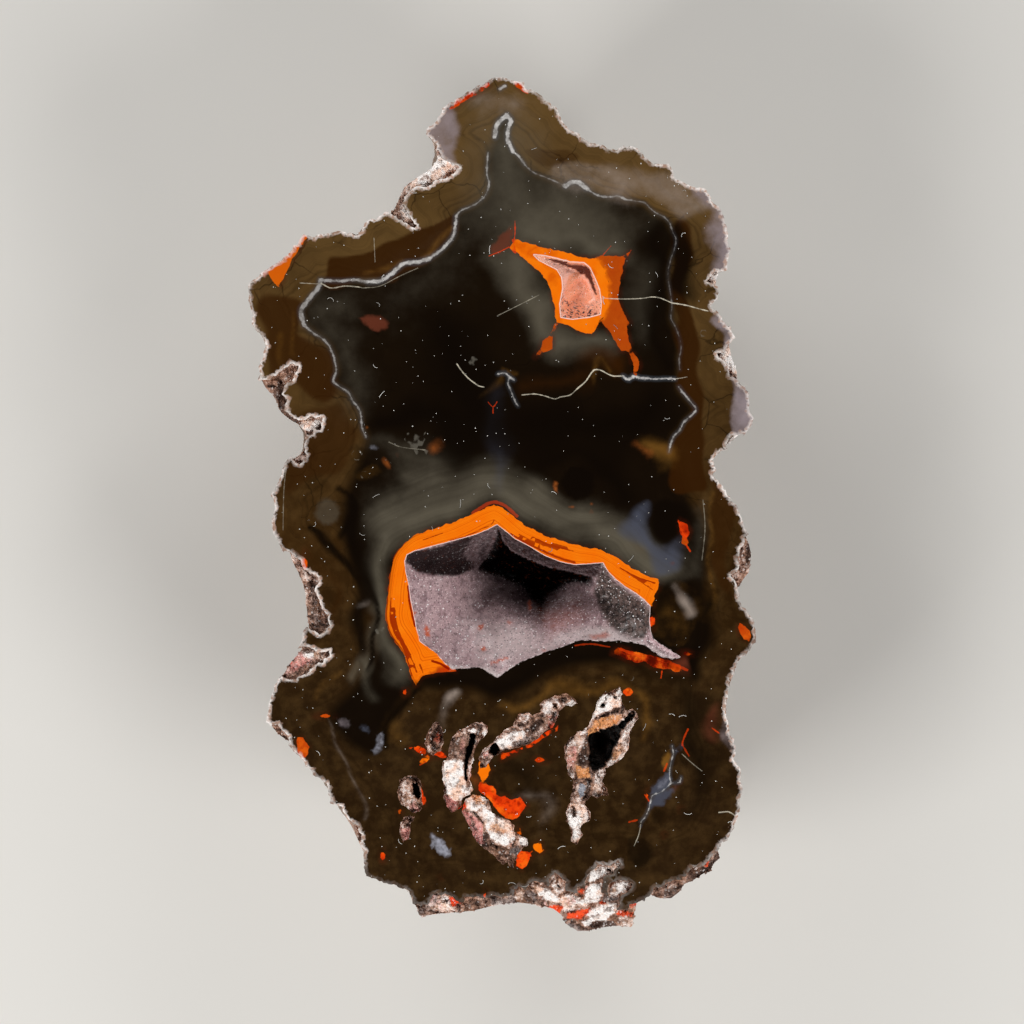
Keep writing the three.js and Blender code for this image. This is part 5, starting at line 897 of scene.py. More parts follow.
def vertexNormals(corners, faces):
    total = np.zeros_like(corners)
    for n in range(3):
        np.add.at(total, faces[:, n], triangleNormals(corners, faces))
    return total / np.maximum(np.linalg.norm(total, axis=1, keepdims=True), 1e-12)


# Lumps of a given size: rounded grains with creases between them, 0 to 1
def grainField(corners, size, seed):
    offset = Vector((seed * 17.0, seed * 5.0, seed * 9.0))
    near = [noise.voronoi(Vector(c) / size + offset)[0][0] for c in corners]
    return np.array([1 - min(1.0, gap * 1.35) for gap in near])


# Smooth sway across and along
def swayField(corners, size, seed):
    offsets = [Vector((n * 11.0, n * 3.0, n * 7.0)) for n in (seed, seed + 1)]
    return np.array([[noise.noise(Vector(c) / size + offset) for offset in offsets] for c in corners])


def raised(places, height):
    return np.column_stack([places, np.full(len(places), height)])


def swayed(places, kind):
    size, reach, seed = sway[kind]
    return places + reach * swayField(raised(places, 0.0), size, seed)


# How much of an area shows at each place, with its softness of edge
def areaShare(places, outline, strength, soft):
    return strength * smoothRise(0.5 + signedDistance(places, outline, soft * 2) / (2 * soft))


# How much of each tone the areas lay on each place; a later area covers an earlier one
def paintAreas(places, areas, tones):
    found = {name: np.zeros(len(places)) for name in tones}
    for name, strength, soft, points in areas:
        amount = areaShare(places, np.array(points, float), strength, soft)
        for other in tones:
            found[other] *= 1 - amount
        found[name] += amount
    return found


# Open edges of a mesh as loops of corner numbers, the widest loop first
def openLoops(mesh, corners):
    following = {}
    for edge in mesh.edges:
        if len(edge.link_faces) == 1:
            a, b = (v.index for v in edge.verts)
            following.setdefault(a, []).append(b)
            following.setdefault(b, []).append(a)
    loops, seen = [], set()
    for start in following:
        if start in seen:
            continue
        loop, here, before = [], start, None
        while here not in seen:
            seen.add(here)
            loop.append(here)
            onward = [n for n in following[here] if n != before and n not in seen]
            before, here = here, onward[0] if onward else start
        loops.append(loop)
    return sorted(loops, key=lambda loop: -np.ptp(corners[loop], axis=0).max())


# Shell of the stone below the cut face: rind, broken rim, plume floors and the walls behind the crystals
def buildShell():
    corners, triangles = cadArrays("agate")
    top = faceHeight - 0.002
    onFace = (corners[triangles][:, :, 2] > top).all(axis=1)
    mesh = meshOf(corners, triangles[~onFace])
    bmesh.ops.delete(mesh, geom=[v for v in mesh.verts if not v.link_faces], context="VERTS")
    mesh.verts.index_update()
    places = np.array([v.co[:2] for v in mesh.verts])
    outline, *inner = [places[loop] for loop in openLoops(mesh, places)]
    mouths = {name: next(loop for loop in inner if insideOf(np.array([place]), loop)[0])
              for name, place in agate["hollows"].items()}
    plumeLoops = [loop for loop in inner if not any(loop is mouth for mouth in mouths.values())]

    def within(places, loops, margin=0.04):
        return np.any([signedDistance(places, loop, 0.3) > -margin for loop in loops], axis=0)

    def longest(ends):
        middles = ends.mean(axis=1)
        places, height = middles[:, :2], middles[:, 2]
        out = np.where(height > faceHeight - agate["wallReach"], agate["wallEdge"], agate["rindEdge"])
        outside = signedDistance(places, outline, 0.4) < -0.25
        out[outside & (height > faceHeight - agate["ledgeReach"])] = agate["ledgeEdge"]
        out[within(places, plumeLoops) & (height > faceHeight - agate["plumeReach"])] = agate["crumbEdge"]
        out[within(places, mouths.values()) & (height < top)] = agate["hiddenEdge"]
        out[(ends[:, :, 2] > top).all(axis=1)] = agate["lipEdge"]
        return out

    refine(mesh, longest)
    corners = np.array([v.co[:] for v in mesh.verts])
    faces, edges = (np.array([[v.index for v in part.verts] for part in parts])
                    for parts in (mesh.faces, mesh.edges))
    loops = openLoops(mesh, corners)
    mesh.free()
    places, height = corners[:, :2], corners[:, 2]
    lip = np.zeros(len(corners), bool)
    lip[np.concatenate(loops)] = True
    hidden = within(places, mouths.values(), 0.01) & (height < top)
    plumes = within(places, plumeLoops, 0.01) & (height > agate["crumbLow"])
    upward = triangleNormals(corners, faces)
    upward = upward[:, 2] / (np.linalg.norm(upward, axis=1) + 1e-12)
    floor = np.zeros(len(corners), bool)
    floor[faces[(upward > 0.3) & (height[faces].mean(axis=1) > agate["floorLow"])].ravel()] = True
    floor &= ~hidden & ~lip
    gap = gapTo(corners[floor], corners)
    crumb = np.where(hidden, 0, smoothRise(agate["crumbSpread"] - gap)) * (height > agate["crumbLow"])
    crumb = np.where(plumes, 1.0, crumb)

    # The cut edge of the face is ragged, as broken rind is; the mouths of the hollows are clean
    wander = sum(reach * swayField(corners * (1, 1, 0.2), size, 30 + 2 * n)
                 for n, (size, reach) in enumerate(agate["jag"]))
    wander *= np.where(plumes, agate["plumeJag"], 1.0)[:, None]
    mouthLoops = {}
    for loop in loops[1:]:
        for name, mouth in mouths.items():
            if insideOf(places[loop].mean(axis=0)[None], mouth)[0]:
                wander[loop] *= agate["mouthJag"]
                mouthLoops[name] = loop
    resting = height < agate["resting"]
    share = np.where(lip | resting | hidden, 0.0, 1.0) * (1 - 0.75 * crumb)
    moved = relaxed(corners, edges, share, agate["evening"])

    # Rind: lumps in three sizes, none at the lip
    fade = smoothRise((faceHeight - height) / agate["rindFade"]) * (1 - crumb) * ~hidden
    lumps = sum(tall * (grainField(moved, size, 1 + n) - 0.45)
                for n, (size, tall) in enumerate(agate["rindGrains"]))
    moved = moved + vertexNormals(moved, faces) * (lumps * np.where(resting, 0.0, fade))[:, None]
    # Plume floors come up to the polish and the broken rim stays lower, both with pores between grains
    relief = sum(tall * grainField(corners * (1, 1, 0.3), size, 5 + n)
                 for n, (size, tall) in enumerate(agate["floorLumps"]))
    relief /= sum(tall for _, tall in agate["floorLumps"])
    painted = paintAreas(swayed(places, "floor"), matrixAreas, matrixTones)
    deep = np.where(plumes, agate["plumeDepth"], agate["ledgeDepth"]) * (1 - 0.55 * painted["chalk"])
    wanted = 0.05 + deep * np.clip(1.1 - relief * 1.35, 0, 1) + np.where(plumes, 0, agate["rimDrop"])
    wanted += painted["void"] * agate["voidDepth"] + painted["umber"] * agate["umberDepth"]
    lifted = faceHeight - np.clip((faceHeight - height) / 0.9, 0, 1) * wanted
    shallow = height >= faceHeight - agate["deepest"]
    onLedge = (crumb > 0.6) & ~lip & shallow & ~hidden & (floor | plumes | (gap < 0.5))
    moved[:, 2] = np.where(onLedge, lifted, moved[:, 2])
    nearLip = lip | ((height > faceHeight - 0.6) & ~hidden)
    moved[:, :2] += wander * nearLip[:, None]
    moved[:, 2] = np.where(lip, faceHeight, np.clip(moved[:, 2], 0, faceHeight - 0.03))
    moved[:, :2] = np.clip(moved[:, :2], *(np.array(end[:2]) / mm - shift for end in (stoneLow, stoneHigh)))
    # Two faces on the same three corners are a closed flap, and both go
    _, first, count = np.unique(np.sort(faces, axis=1), axis=0, return_index=True, return_counts=True)
    faces = faces[np.sort(first[count % 2 == 1])]
    print("shell of the stone:", len(faces), "triangles")
    return {"corners": moved, "faces": faces, "loops": loops, "crumb": crumb, "relief": relief,
            "mouths": mouths, "mouthLoops": mouthLoops}


# The polished face: a fine sheet between the loops, with the markings' lines as edges of its triangles
def buildFace(shell):
    owners = np.concatenate(shell["loops"])
    loopPlaces = shell["corners"][owners][:, :2]
    rims = [shell["corners"][loop][:, :2] for loop in shell["loops"]]
    edges = []
    for rim in rims:
        start = len(edges)
        edges += [(start + n, start + (n + 1) % len(rim)) for n in range(len(rim))]

    def onSheet(places, margin):
        inside = signedDistance(places, rims[0], margin) >= margin
        for rim in rims[1:]:
            inside &= signedDistance(places, rim, margin) <= -margin
        return inside

    step = agate["markStep"]
    lines = [(evened(points, step, True, False), True) for _, points in jasper]
    lines += [(evened(points, step, True), True)
              for _, _, soft, points in cloudAreas if soft < agate["crisp"]]
    lines += [(evened(points, step), False) for _, _, points in whiteLines + paleLines + redLines + slits]
    marks, markEdges = [], []
    margin, gap = agate["markMargin"], agate["markGap"]
    for line, closed in lines:
        good = onSheet(line, margin)
        index = {}
        for n, place in enumerate(line):
            if good[n] and not (marks and min(np.hypot(*(np.array(marks[-400:]) - place).T)) < gap):
                index[n] = len(marks)
                marks.append(place)
        count = len(line)
        pairs = [(n, (n + 1) % count) for n in range(count if closed else count - 1)]
        markEdges += [(index[a], index[b]) for a, b in pairs if a in index and b in index]
    grid = staggered(rims[0].min(axis=0), rims[0].max(axis=0), agate["facePitch"])
    grid = grid[onSheet(grid, agate["gridMargin"])]
    grid = grid[gapTo(raised(marks, 0.0), raised(grid, 0.0)) > agate["gridGap"]]
    edges += [(len(owners) + a, len(owners) + b) for a, b in markEdges]
    places = [Vector(p) for p in np.concatenate([loopPlaces, marks, grid])]
    flat, _, faces, sources, _, _ = delaunay_2d_cdt(places, edges, [], 0, 1e-7)
    flat, faces = np.array(flat), np.array(faces)
    middles = flat[faces].mean(axis=1)
    keep = insideOf(middles, rims[0])
    for rim in rims[1:]:
        keep &= ~insideOf(middles, rim)
    # Corners on the loops are the shell's own
    number, extra = np.full(len(flat), -1), []
    for n, source in enumerate(sources):
        onLoop = [s for s in source if s < len(owners)]
        number[n] = owners[onLoop[0]] if onLoop else len(shell["corners"]) + len(extra)
        if not onLoop:
            extra.append((*flat[n], faceHeight))
    print("polished face:", keep.sum(), "triangles")
    return np.array(extra), number[faces[keep]], rims


# What the chalcedony's colours follow, at each corner: distances in mm to lines and areas, and the clouds
def markAttributes(places, shell, rims):
    found = {"heart": signedDistance(places, evened(heart, 0.5, True), 6)}
    mouths = shell["mouths"]
    follow = [("edge", rims[0], True, 6), ("lip", mouths["crater"], True, 8),
              ("pocketLip", mouths["pocket"], True, 2), ("bandDepth", evened(bandOuter, 0.3), False, 4)]
    for name, line, closed, reach in follow:
        found[name] = lineDistance(places, line, closed, reach)
    reach, step, blend = 0.9, agate["markStep"], 0.1
    close, bent = swayed(places, "crisp"), swayed(places, "cloud")
    depths = [(tone, signedDistance(close, evened(points, step, True, False), reach))
              for tone, points in jasper]
    for tone, x, y, across, along in jasperSpots:
        far = np.hypot((close[:, 0] - x) / across, (close[:, 1] - y) / along)
        depths.append((tone, (1 - far) * min(across, along)))
    found["jasper"] = np.max([np.full(len(places), -reach)] + [depth for _, depth in depths], axis=0)
    weights = [np.exp(depth / blend) for _, depth in depths]
    found["jasperTone"] = sum(weight * tone for weight, (tone, _) in zip(weights, depths)) / sum(weights)
    drawn = {"whiteLine": whiteLines, "paleLine": paleLines, "redLine": redLines, "slit": slits}
    for name, lines in drawn.items():
        best, power = np.full(len(places), reach), np.zeros(len(places))
        for halfWidth, strength, points in lines:
            far = lineDistance(places, evened(points, step), False, reach) - halfWidth
            closer = far < best
            best[closer] = far[closer]
            power[closer] = strength
        found[name], found[name + "Power"] = best, power
    found["ring"] = np.full(len(places), reach)
    for x, y, radius in rings:
        far = np.abs(np.hypot(places[:, 0] - x, places[:, 1] - y) - radius)
        found["ring"] = np.minimum(found["ring"], far - 0.03)
    # Clouds thin out evenly from their middle, and smooth noise bends them
    amounts = []
    for name, strength, soft, points in clouds:
        line = evened(points, 0.8) if len(points) > 1 else np.array(points * 2, float)
        far = lineDistance(bent, line, False, soft * 1.6)
        amounts.append((name, strength * (1 - far / (soft * 1.6)) ** 1.3))
    for name, strength, soft, points in cloudAreas:
        base = close if soft < agate["crisp"] else bent
        amounts.append((name, areaShare(base, evened(points, 0.5, True), strength, soft)))
    found.update({name: np.zeros(len(places)) for name in softTones})
    for name, amount in amounts:
        found[name] = 1 - (1 - found[name]) * (1 - amount)
    return found


# Chalcedony: patterns of noise (size in mm, detail, roughness), thin growth layers (what they run along, how
# far they waver, layers to the mm, detail), and the tones over the brown
polish = {
    "grains": {"broad": (7, 4, 0.5), "fine": (1.6, 6, 0.62), "fray": (0.5, 3, 0.5), "sway": (2.6, 3, 0.5),
               "breaks": (0.9, 5, 0.7), "patches": (2.4, 4, 0.7)},
    "growth": {"laminae": ("edge", 3.0, 1.6, 3), "shells": ("lip", 2.2, 1.1, 4),
               "leaves": ("bandDepth", 0.9, 7.0, 4)},
    "crazing": 4.6, "crazeSway": 2.4, "ior": 1.54, "coat": (0.3, 0.03),
    # Soft tones, as attribute, how ragged its edge is, from, to, strength, colour; later ones lie on top
    "soft": [
        ("heart", 0.5, -0.9, 0.8, 0.96, "#110A05"), ("amber", 0.25, 0.1, 0.9, 0.92, "#331A05"),
        ("gold", 0.5, 0.1, 1.0, 0.9, "#7A5320"), ("smoke", 0.35, 0.0, 1.0, 0.9, "#5F584A"),
        ("mist", 0.4, 0.0, 1.0, 0.9, "#4A4D5A"), ("shadow", 0.3, 0.05, 0.9, 0.92, "#0E0804"),
        ("haze", 0.5, 0.0, 1.0, 0.95, "#A6968A"), ("lilac", 0.8, 0.05, 1.0, 0.85, "#9E9094"),
        ("stain", 0.35, 0.15, 0.9, 0.8, "#6B3524"), ("ember", 0.5, 0.1, 0.8, 0.9, "#9A5222"),
        ("frost", 0.6, 0.1, 0.75, 0.95, "#A8A8B4"), ("blush", 1.0, 0.3, 0.6, 0.9, "#E0A090"),
    ],
    # Crisp marks, the same way
    "crisp": [
        ("jasper", 0.24, -0.03, 0.05, 1.0, "jasper"), ("slit", 0.12, 0.03, -0.03, 0.95, "#8E1202"),
        ("redLine", 0.2, 0.04, -0.04, 0.95, "#E0400C"), ("paleLine", 0.1, 0.05, -0.04, 1.0, "#E6DCC4"),
        ("whiteLine", 0.4, 0.05, -0.1, 1.0, "#D4D0CC"), ("ring", 0.06, 0.05, -0.01, 0.4, "#7E786C"),
    ],
}


# Chalcedony, sawn and polished to a mirror: dark, deep, with crisp jasper and soft clouds under the gloss
def polishedChalcedony():
    made, tree, shader, fields = startMaterial("polished banded chalcedony", polish["grains"])
    apart = addNode(tree, "ShaderNodeSeparateXYZ", {0: fields["place"]})
    fields.update(across=apart.outputs["X"], along=apart.outputs["Y"])
    fields["rough"] = valueOf(tree, fields, (-0.5, "fine", 1.0))
    fields["frayed"] = valueOf(tree, fields, (-0.5, "fray", 1.0))
    for label, (line, waver, layersToMm, detail) in polish["growth"].items():
        sockets = {"W": valueOf(tree, fields, (line, "broad", waver)), "Scale": layersToMm, "Detail": detail}
        fields[label] = addNode(tree, "ShaderNodeTexNoise", sockets, noise_dimensions="1D")
    sockets = {0: fields["sway"].outputs["Color"], "Scale": polish["crazeSway"] * mm}
    moved = addNode(tree, "ShaderNodeVectorMath", sockets, operation="SCALE")
    moved = addNode(tree, "ShaderNodeVectorMath", {0: fields["place"], 1: moved}, operation="ADD")
    sockets = {"Vector": moved, "Scale": perMm(polish["crazing"])}
    cells = addNode(tree, "ShaderNodeTexVoronoi", sockets, feature="DISTANCE_TO_EDGE")
    fields["cracks"] = cells.outputs["Distance"]
    # Jasper: bright orange, burnt orange or red by its tone, laminated along the band, charred in the reddest
    orange = layColours(tree, fields, "#FF8A12", [
        ("#F86600", "fine"),
        ("#B84A0C", ("jasperTone", 0.1, 0.5)),
        ("#F2440C", ("jasperTone", 0.5, 1.0)),
        ("#8A1806", ("jasperTone", 1.0, 1.5)),
        ("#B81E04", ("fine", 0.5, 0.62), ("jasperTone", 0.45, 0.8, 0.0, 0.7)),
        ("#FF7A18", ("fine", 0.48, 0.36), ("jasperTone", 0.45, 0.8, 0.0, 0.7)),
        ("#8A1404", ("fray", 0.52, 0.66), ("jasperTone", 0.45, 0.8, 0.0, 0.7)),
        ("#260803", ("fine", 0.46, 0.56), ("jasperTone", 1.0, 1.4, 0.0, 0.85)),
        ("#D24A04", ("leaves", 0.52, 0.68, 0.0, 0.6)),
        ("#8A2A04", ("bandDepth", 0.42, 0.12), ("across", -0.0075, -0.0105),
         ("leaves", 0.4, 0.56, 0.25, 0.95)),
    ])
    layers = [
        ("#3A250E", ("along", 0.030, -0.004)),
        ("#2B1C0D", ("along", -0.002, -0.022)),
        ("#241506", ("broad", 0.35, 0.7, 0.0, 0.5)),
        ("#6A4E2A", ("fine", 0.42, 0.75, 0.0, 0.3)),
        ("#221507", ("laminae", 0.5, 0.68, 0.0, 0.35)),  # faint, along the outer edge
        ("#140B04", ("cracks", 0.022, 0.004, 0.0, 0.55), ("broad", 0.44, 0.54),
         ("along", -0.012, 0.008, 0.35, 1.0)),
    ]
    # The smoke lies in thin shells round the crater
    more = {"smoke": ("shells", 0.35, 0.62, 0.8, 1.05), "frost": ("fray", 0.35, 0.6, 0.45, 1.0)}
    more["mist"] = more["smoke"]
    for name, ragged, start, end, strength, over in polish["soft"]:
        masks = [((name, "rough", ragged), start, end, 0.0, strength, "SMOOTHSTEP")]
        masks += [] if name == "heart" else [(name, 0.0, 0.2)]
        layers.append((over, *masks, *([more[name]] if name in more else [])))
    # A maroon breath round the jasper and a cool glow along the white lines
    layers += [
        ("#4A1808", ("jasper", -0.55, 0.0, 0.0, 0.55, "SMOOTHSTEP"), ("fine", 0.4, 0.65)),
        ("#596068", ("whiteLine", 0.34, -0.05, 0.0, 0.32, "SMOOTHSTEP"), "whiteLinePower"),
    ]
    for name, ragged, start, end, strength, over in polish["crisp"]:
        masks = [((name, "frayed", ragged), start, end, 0.0, strength, "SMOOTHSTEP")]
        masks += [] if name in ("jasper", "ring") else [name + "Power"]
        masks += [("breaks", 0.38, 0.56, 0.35, 1.0)] if name in ("paleLine", "whiteLine") else []
        layers.append((orange if name == "jasper" else over, *masks))
    # Whitish skin of the rind, broken along the rim, and the thin pale lip of the crater and the pocket
    gritty, low = maskOf(tree, fields, ("fray", 0.44, 0.6)), maskOf(tree, fields, ("along", -0.0125, -0.0135))
    sockets = {0: gritty, 1: low}
    lowLip = addNode(tree, "ShaderNodeMath", sockets, operation="MULTIPLY")
    sockets = {0: lowLip, 1: maskOf(tree, fields, ("along", -0.0135, -0.0125, 0.0, 0.9))}
    lipStrength = addNode(tree, "ShaderNodeMath", sockets, operation="MAXIMUM")
    skin = layColours(tree, fields, "#BC9A88", [("#FFF6F0", ("fray", 0.38, 0.56))])
    layers += [
        (skin, (("edge", "frayed", 1.0), 0.38, 0.152), ("patches", 0.36, 0.6, 0.3, 1.0),
         ("along", -0.0365, -0.034, 0.15, 1.0)),
        ("#F0DCD8", (("lip", "frayed", 0.06), 0.09, 0.036), lipStrength),
        ("#FFE6DE", (("pocketLip", "frayed", 0.05), 0.12, 0.048, 0.0, 0.9)),
    ]
    coat, coatRoughness = polish["coat"]
    plug(tree, shader, {
        "Base Color": layColours(tree, fields, "#634A28", layers), "IOR": polish["ior"], "Coat Weight": coat,
        "Coat Roughness": coatRoughness, "Roughness": maskOf(tree, fields, ("fine", 0.3, 0.8, 0.07, 0.15))})
    return made


# Crumbly chalky matrix, broken open: cream and white grains over dark pores, dull, with painted shade in its
# low places and painted light on its raised grains
def crumblyMatrix():
    made, tree, shader, fields = startMaterial("crumbly chalky matrix", {
        "fine": (0.45, 5, 0.7), "broad": (1.8, 3, 0.5), "lumps": (0.95, 4, 0.65), "peach": (1.3, 3, 0.5)})
    fields["rough"] = valueOf(tree, fields, (-0.5, "fine", 1.0))
    fields["mixed"] = valueOf(tree, fields, (("relief", "rough", 1.5), "chalk", 0.3))
    # Darker in the low places and in the gaps between the lumps, paler on raised grains: painted shade and
    # painted light
    layers = [("#B8907C", ("mixed", 0.1, 0.4)), ("#FFEEE4", ("mixed", 0.4, 0.75)),
              ("#C08A68", ("broad", 0.45, 0.7, 0.0, 0.5)), ("#5E3C2C", ("lumps", 0.54, 0.64, 0.0, 0.8))]
    # The dark brown tone is partly painted shade in the low places, the near-black one painted shade in the
    # deep holes
    tones = [("chalk", 0.95, "#FFFAF6"), ("pink", 0.75, "#EBA098"), ("rust", 1.0, "#F85418"),
             ("ochre", 0.8, "#EEA564"), ("grey", 0.55, "#9A9290"), ("pearl", 0.9, "#9AA0AA"),
             ("umber", 0.85, "#3E2416"), ("void", 1.0, "#0B0604")]
    for name, strength, over in tones:
        masks = [((name, "rough", 2.2), 0.3, 0.8, 0.0, strength)]
        layers.append((over, *masks, *([("lumps", 0.62, 0.54, 0.2, 1.0)] if name == "chalk" else [])))
    layers.append(("#F6BC94", ("peach", 0.5, 0.62, 0.0, 0.65), "chalk"))
    # Some grains are brighter or darker than their neighbours
    layers += [("#FFF8F4", ("tint", 0.75, 1.0, 0.0, 0.5)), ("#4A3020", ("tint", 0.2, 0.0, 0.0, 0.7))]
    colour = layColours(tree, fields, "#3C2418", layers)
    bump = addNode(tree, "ShaderNodeBump", {"Height": fields["fine"], "Strength": 0.5, "Distance": 0.1 * mm})
    plug(tree, shader, {"Base Color": colour, "Roughness": 0.75, "Normal": bump})
    return made


# Weathered rind of the nodule, never worked: matt, pitted, grey-beige with brown in the hollows
def weatheredRind():
    grains = {"fine": (0.8, 6, 0.7), "broad": (9, 5, 0.5)}
    made, tree, shader, fields = startMaterial("weathered nodule rind", grains)
    colour = layColours(tree, fields, "#6E5646", [
        ("#97806F", ("broad", 0.36, 0.5)), ("#B5A296", ("broad", 0.5, 0.66)),
        ("#4B382C", ("fine", 0.52, 0.36, 0.0, 0.75)), ("#D8C8BC", ("fine", 0.56, 0.72, 0.0, 0.6))])
    bump = addNode(tree, "ShaderNodeBump", {"Height": fields["fine"], "Strength": 0.7, "Distance": 0.25 * mm})
    plug(tree, shader, {"Base Color": colour, "Roughness": 0.82, "Normal": bump})
    return made


def storeAttributes(mesh, values):
    for name, column in values.items():
        mesh.attributes.new(name, "FLOAT", "POINT").data.foreach_set("value", np.asarray(column, np.float32))


def pieceFrom(name, corners, faces, materials):
    mesh = bpy.data.meshes.new(name)
    placed = np.array(corners, float)
    placed[:, :2] += shift
    mesh.from_pydata((placed * mm).tolist(), [], faces.tolist())
    for material in materials:
        mesh.materials.append(material)
    return addObject(name, mesh)


def handOver(piece, node=None):
    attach(piece, "root")
    if node:
        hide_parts(node)
    print(piece.name + ":", len(piece.data.polygons), "faces")


# The corners that some faces use, and the faces on them
def cutOut(corners, faces):
    used, index = np.unique(faces, return_inverse=True)
    return used, corners[used], index.reshape(faces.shape)


def buildStone():
    shell = buildShell()
    extra, faceTriangles, rims = buildFace(shell)
    corners = np.concatenate([shell["corners"], extra])
    faces = np.concatenate([shell["faces"], faceTriangles])
    # Material 0 is the polish, 1 the crumbly matrix and 2 the rind, the only one that is shaded smooth
    indices = np.zeros(len(faces), np.int32)
    indices[:len(shell["faces"])] = np.where(shell["crumb"][shell["faces"]].min(axis=1) > 0.5, 1, 2)
    matrix = crumblyMatrix()
    used, kept, keptFaces = cutOut(corners, faces)
    stone = pieceFrom("agate_stone", kept, keptFaces, [polishedChalcedony(), matrix, weatheredRind()])
    stone.data.polygons.foreach_set("material_index", indices)
    stone.data.polygons.foreach_set("use_smooth", indices == 2)
    values = markAttributes(corners[:, :2], shell, rims)
    values["relief"] = np.concatenate([shell["relief"], np.zeros(len(extra))])
    values["tint"] = np.full(len(corners), 0.5)
    values.update(paintAreas(swayed(corners[:, :2], "matrix"), matrixAreas, matrixTones))
    storeAttributes(stone.data, {name: value[used] for name, value in values.items()})
    handOver(stone, "agate")
    shell.update(matrix=matrix, faceCorners=corners, faceTriangles=faceTriangles,
                 crumbFaces=faces[indices == 1],
                 painted={name: values[name] for name in matrixTones + ("relief",)})
    return shell


# Crystal crusts: mesh, crystals, and colours from the shadow between the points to the glint of their faces
druse = {
    "crater": {
        "node": "crater_crystals", "slot": "grey_druse", "piece": "crater_druse", "areas": craterAreas,
        "pitch": 0.24, "evening": 6, "spacing": 0.17, "perMm2": 1000, "smallest": 0.13, "largest": 0.26,
        "tilt": 0.4, "seed": 4,
        "material": "mauve quartz druse", "shadow": "#6C4E54", "dark": "#9C7C80", "middle": "#C6A6A8",
        "pale": "#EEDADA", "glint": "#FFFFFF",
        # The near-black and dark maroon tones are painted shade in the hollow and under the rim; the pale one
        # is partly painted light
        "tones": [("chalk", 0.75, "#F0E2DE"), ("shade", 1.0, "#020101"), ("umber", 0.97, "#180C0B"),
                  ("olive", 0.85, "#544539"), ("rust", 0.9, "#D8602C")],
    },
    "pocket": {
        "node": "pocket_crystals", "slot": "pink_druse", "piece": "pocket_druse", "areas": pocketAreas,
        "pitch": 0.16, "evening": 3, "spacing": 0.12, "perMm2": 1000, "smallest": 0.08, "largest": 0.15,
        "tilt": 0.4, "seed": 9,
        "material": "salmon quartz druse", "shadow": "#F08660", "dark": "#FF9A70", "middle": "#FFAC86",
        "pale": "#FFD0BE", "glint": "#FFF6F2",
        # The dark maroon tone is painted shade along the upper rim
        "tones": [("chalk", 0.8, "#FFCCBC"), ("umber", 0.95, "#4A1C16")],
    },
}
crust = {"lipDrop": 0.04, "thickness": 0.7, "inset": 0.35, "clear": 0.03}


# A low six-sided quartz tip one unit across, its foot a little below its own zero
def quartzPoint():
    ring = [(0.5 * math.cos(n * math.pi / 3), 0.5 * math.sin(n * math.pi / 3), -0.2) for n in range(6)]
    faces = [(n, (n + 1) % 6, 6) for n in range(6)] + [(5, 4, 3, 2, 1, 0)]
    mesh = bpy.data.meshes.new("quartz_point")
    mesh.from_pydata(ring + [(0.06, 0, 0.34)], [], faces)
    return addObject("quartz_point", mesh)


# A short bent fibre one unit long, lying flat
def lintFibre(bend, steps=8, radius=0.04):
    corners, faces = [], []
    for n in range(steps + 1):
        turn = bend * (n / steps - 0.5)
        x, y = math.sin(turn) / bend, (1 - math.cos(turn)) / bend
        for a in (k * 2 * math.pi / 3 for k in range(3)):
            reach, rise = radius * math.cos(a), radius * math.sin(a) + 0.03
            corners.append((x - math.sin(turn) * reach, y + math.cos(turn) * reach, rise))
    for n in range(0, 3 * steps, 3):
        faces += [(n + k, n + (k + 1) % 3, n + 3 + (k + 1) % 3, n + 3 + k) for k in range(3)]
    faces += [(2, 1, 0), (3 * steps, 3 * steps + 1, 3 * steps + 2)]
    mesh = bpy.data.meshes.new("lint_fibre")
    mesh.from_pydata(corners, [], faces)
    return addObject("lint_fibre", mesh)


# A lumpy grain of a few faces, one unit across
def matrixGrain():
    made = bmesh.new()
    bmesh.ops.create_icosphere(made, subdivisions=1, radius=0.5)
    for n, v in enumerate(made.verts):
        v.co *= 0.75 + 0.5 * ((n * 37) % 11) / 11
        v.co.z *= 0.7
    mesh = bpy.data.meshes.new("matrix_grain")
    made.to_mesh(mesh)
    made.free()
    return addObject("matrix_grain", mesh)


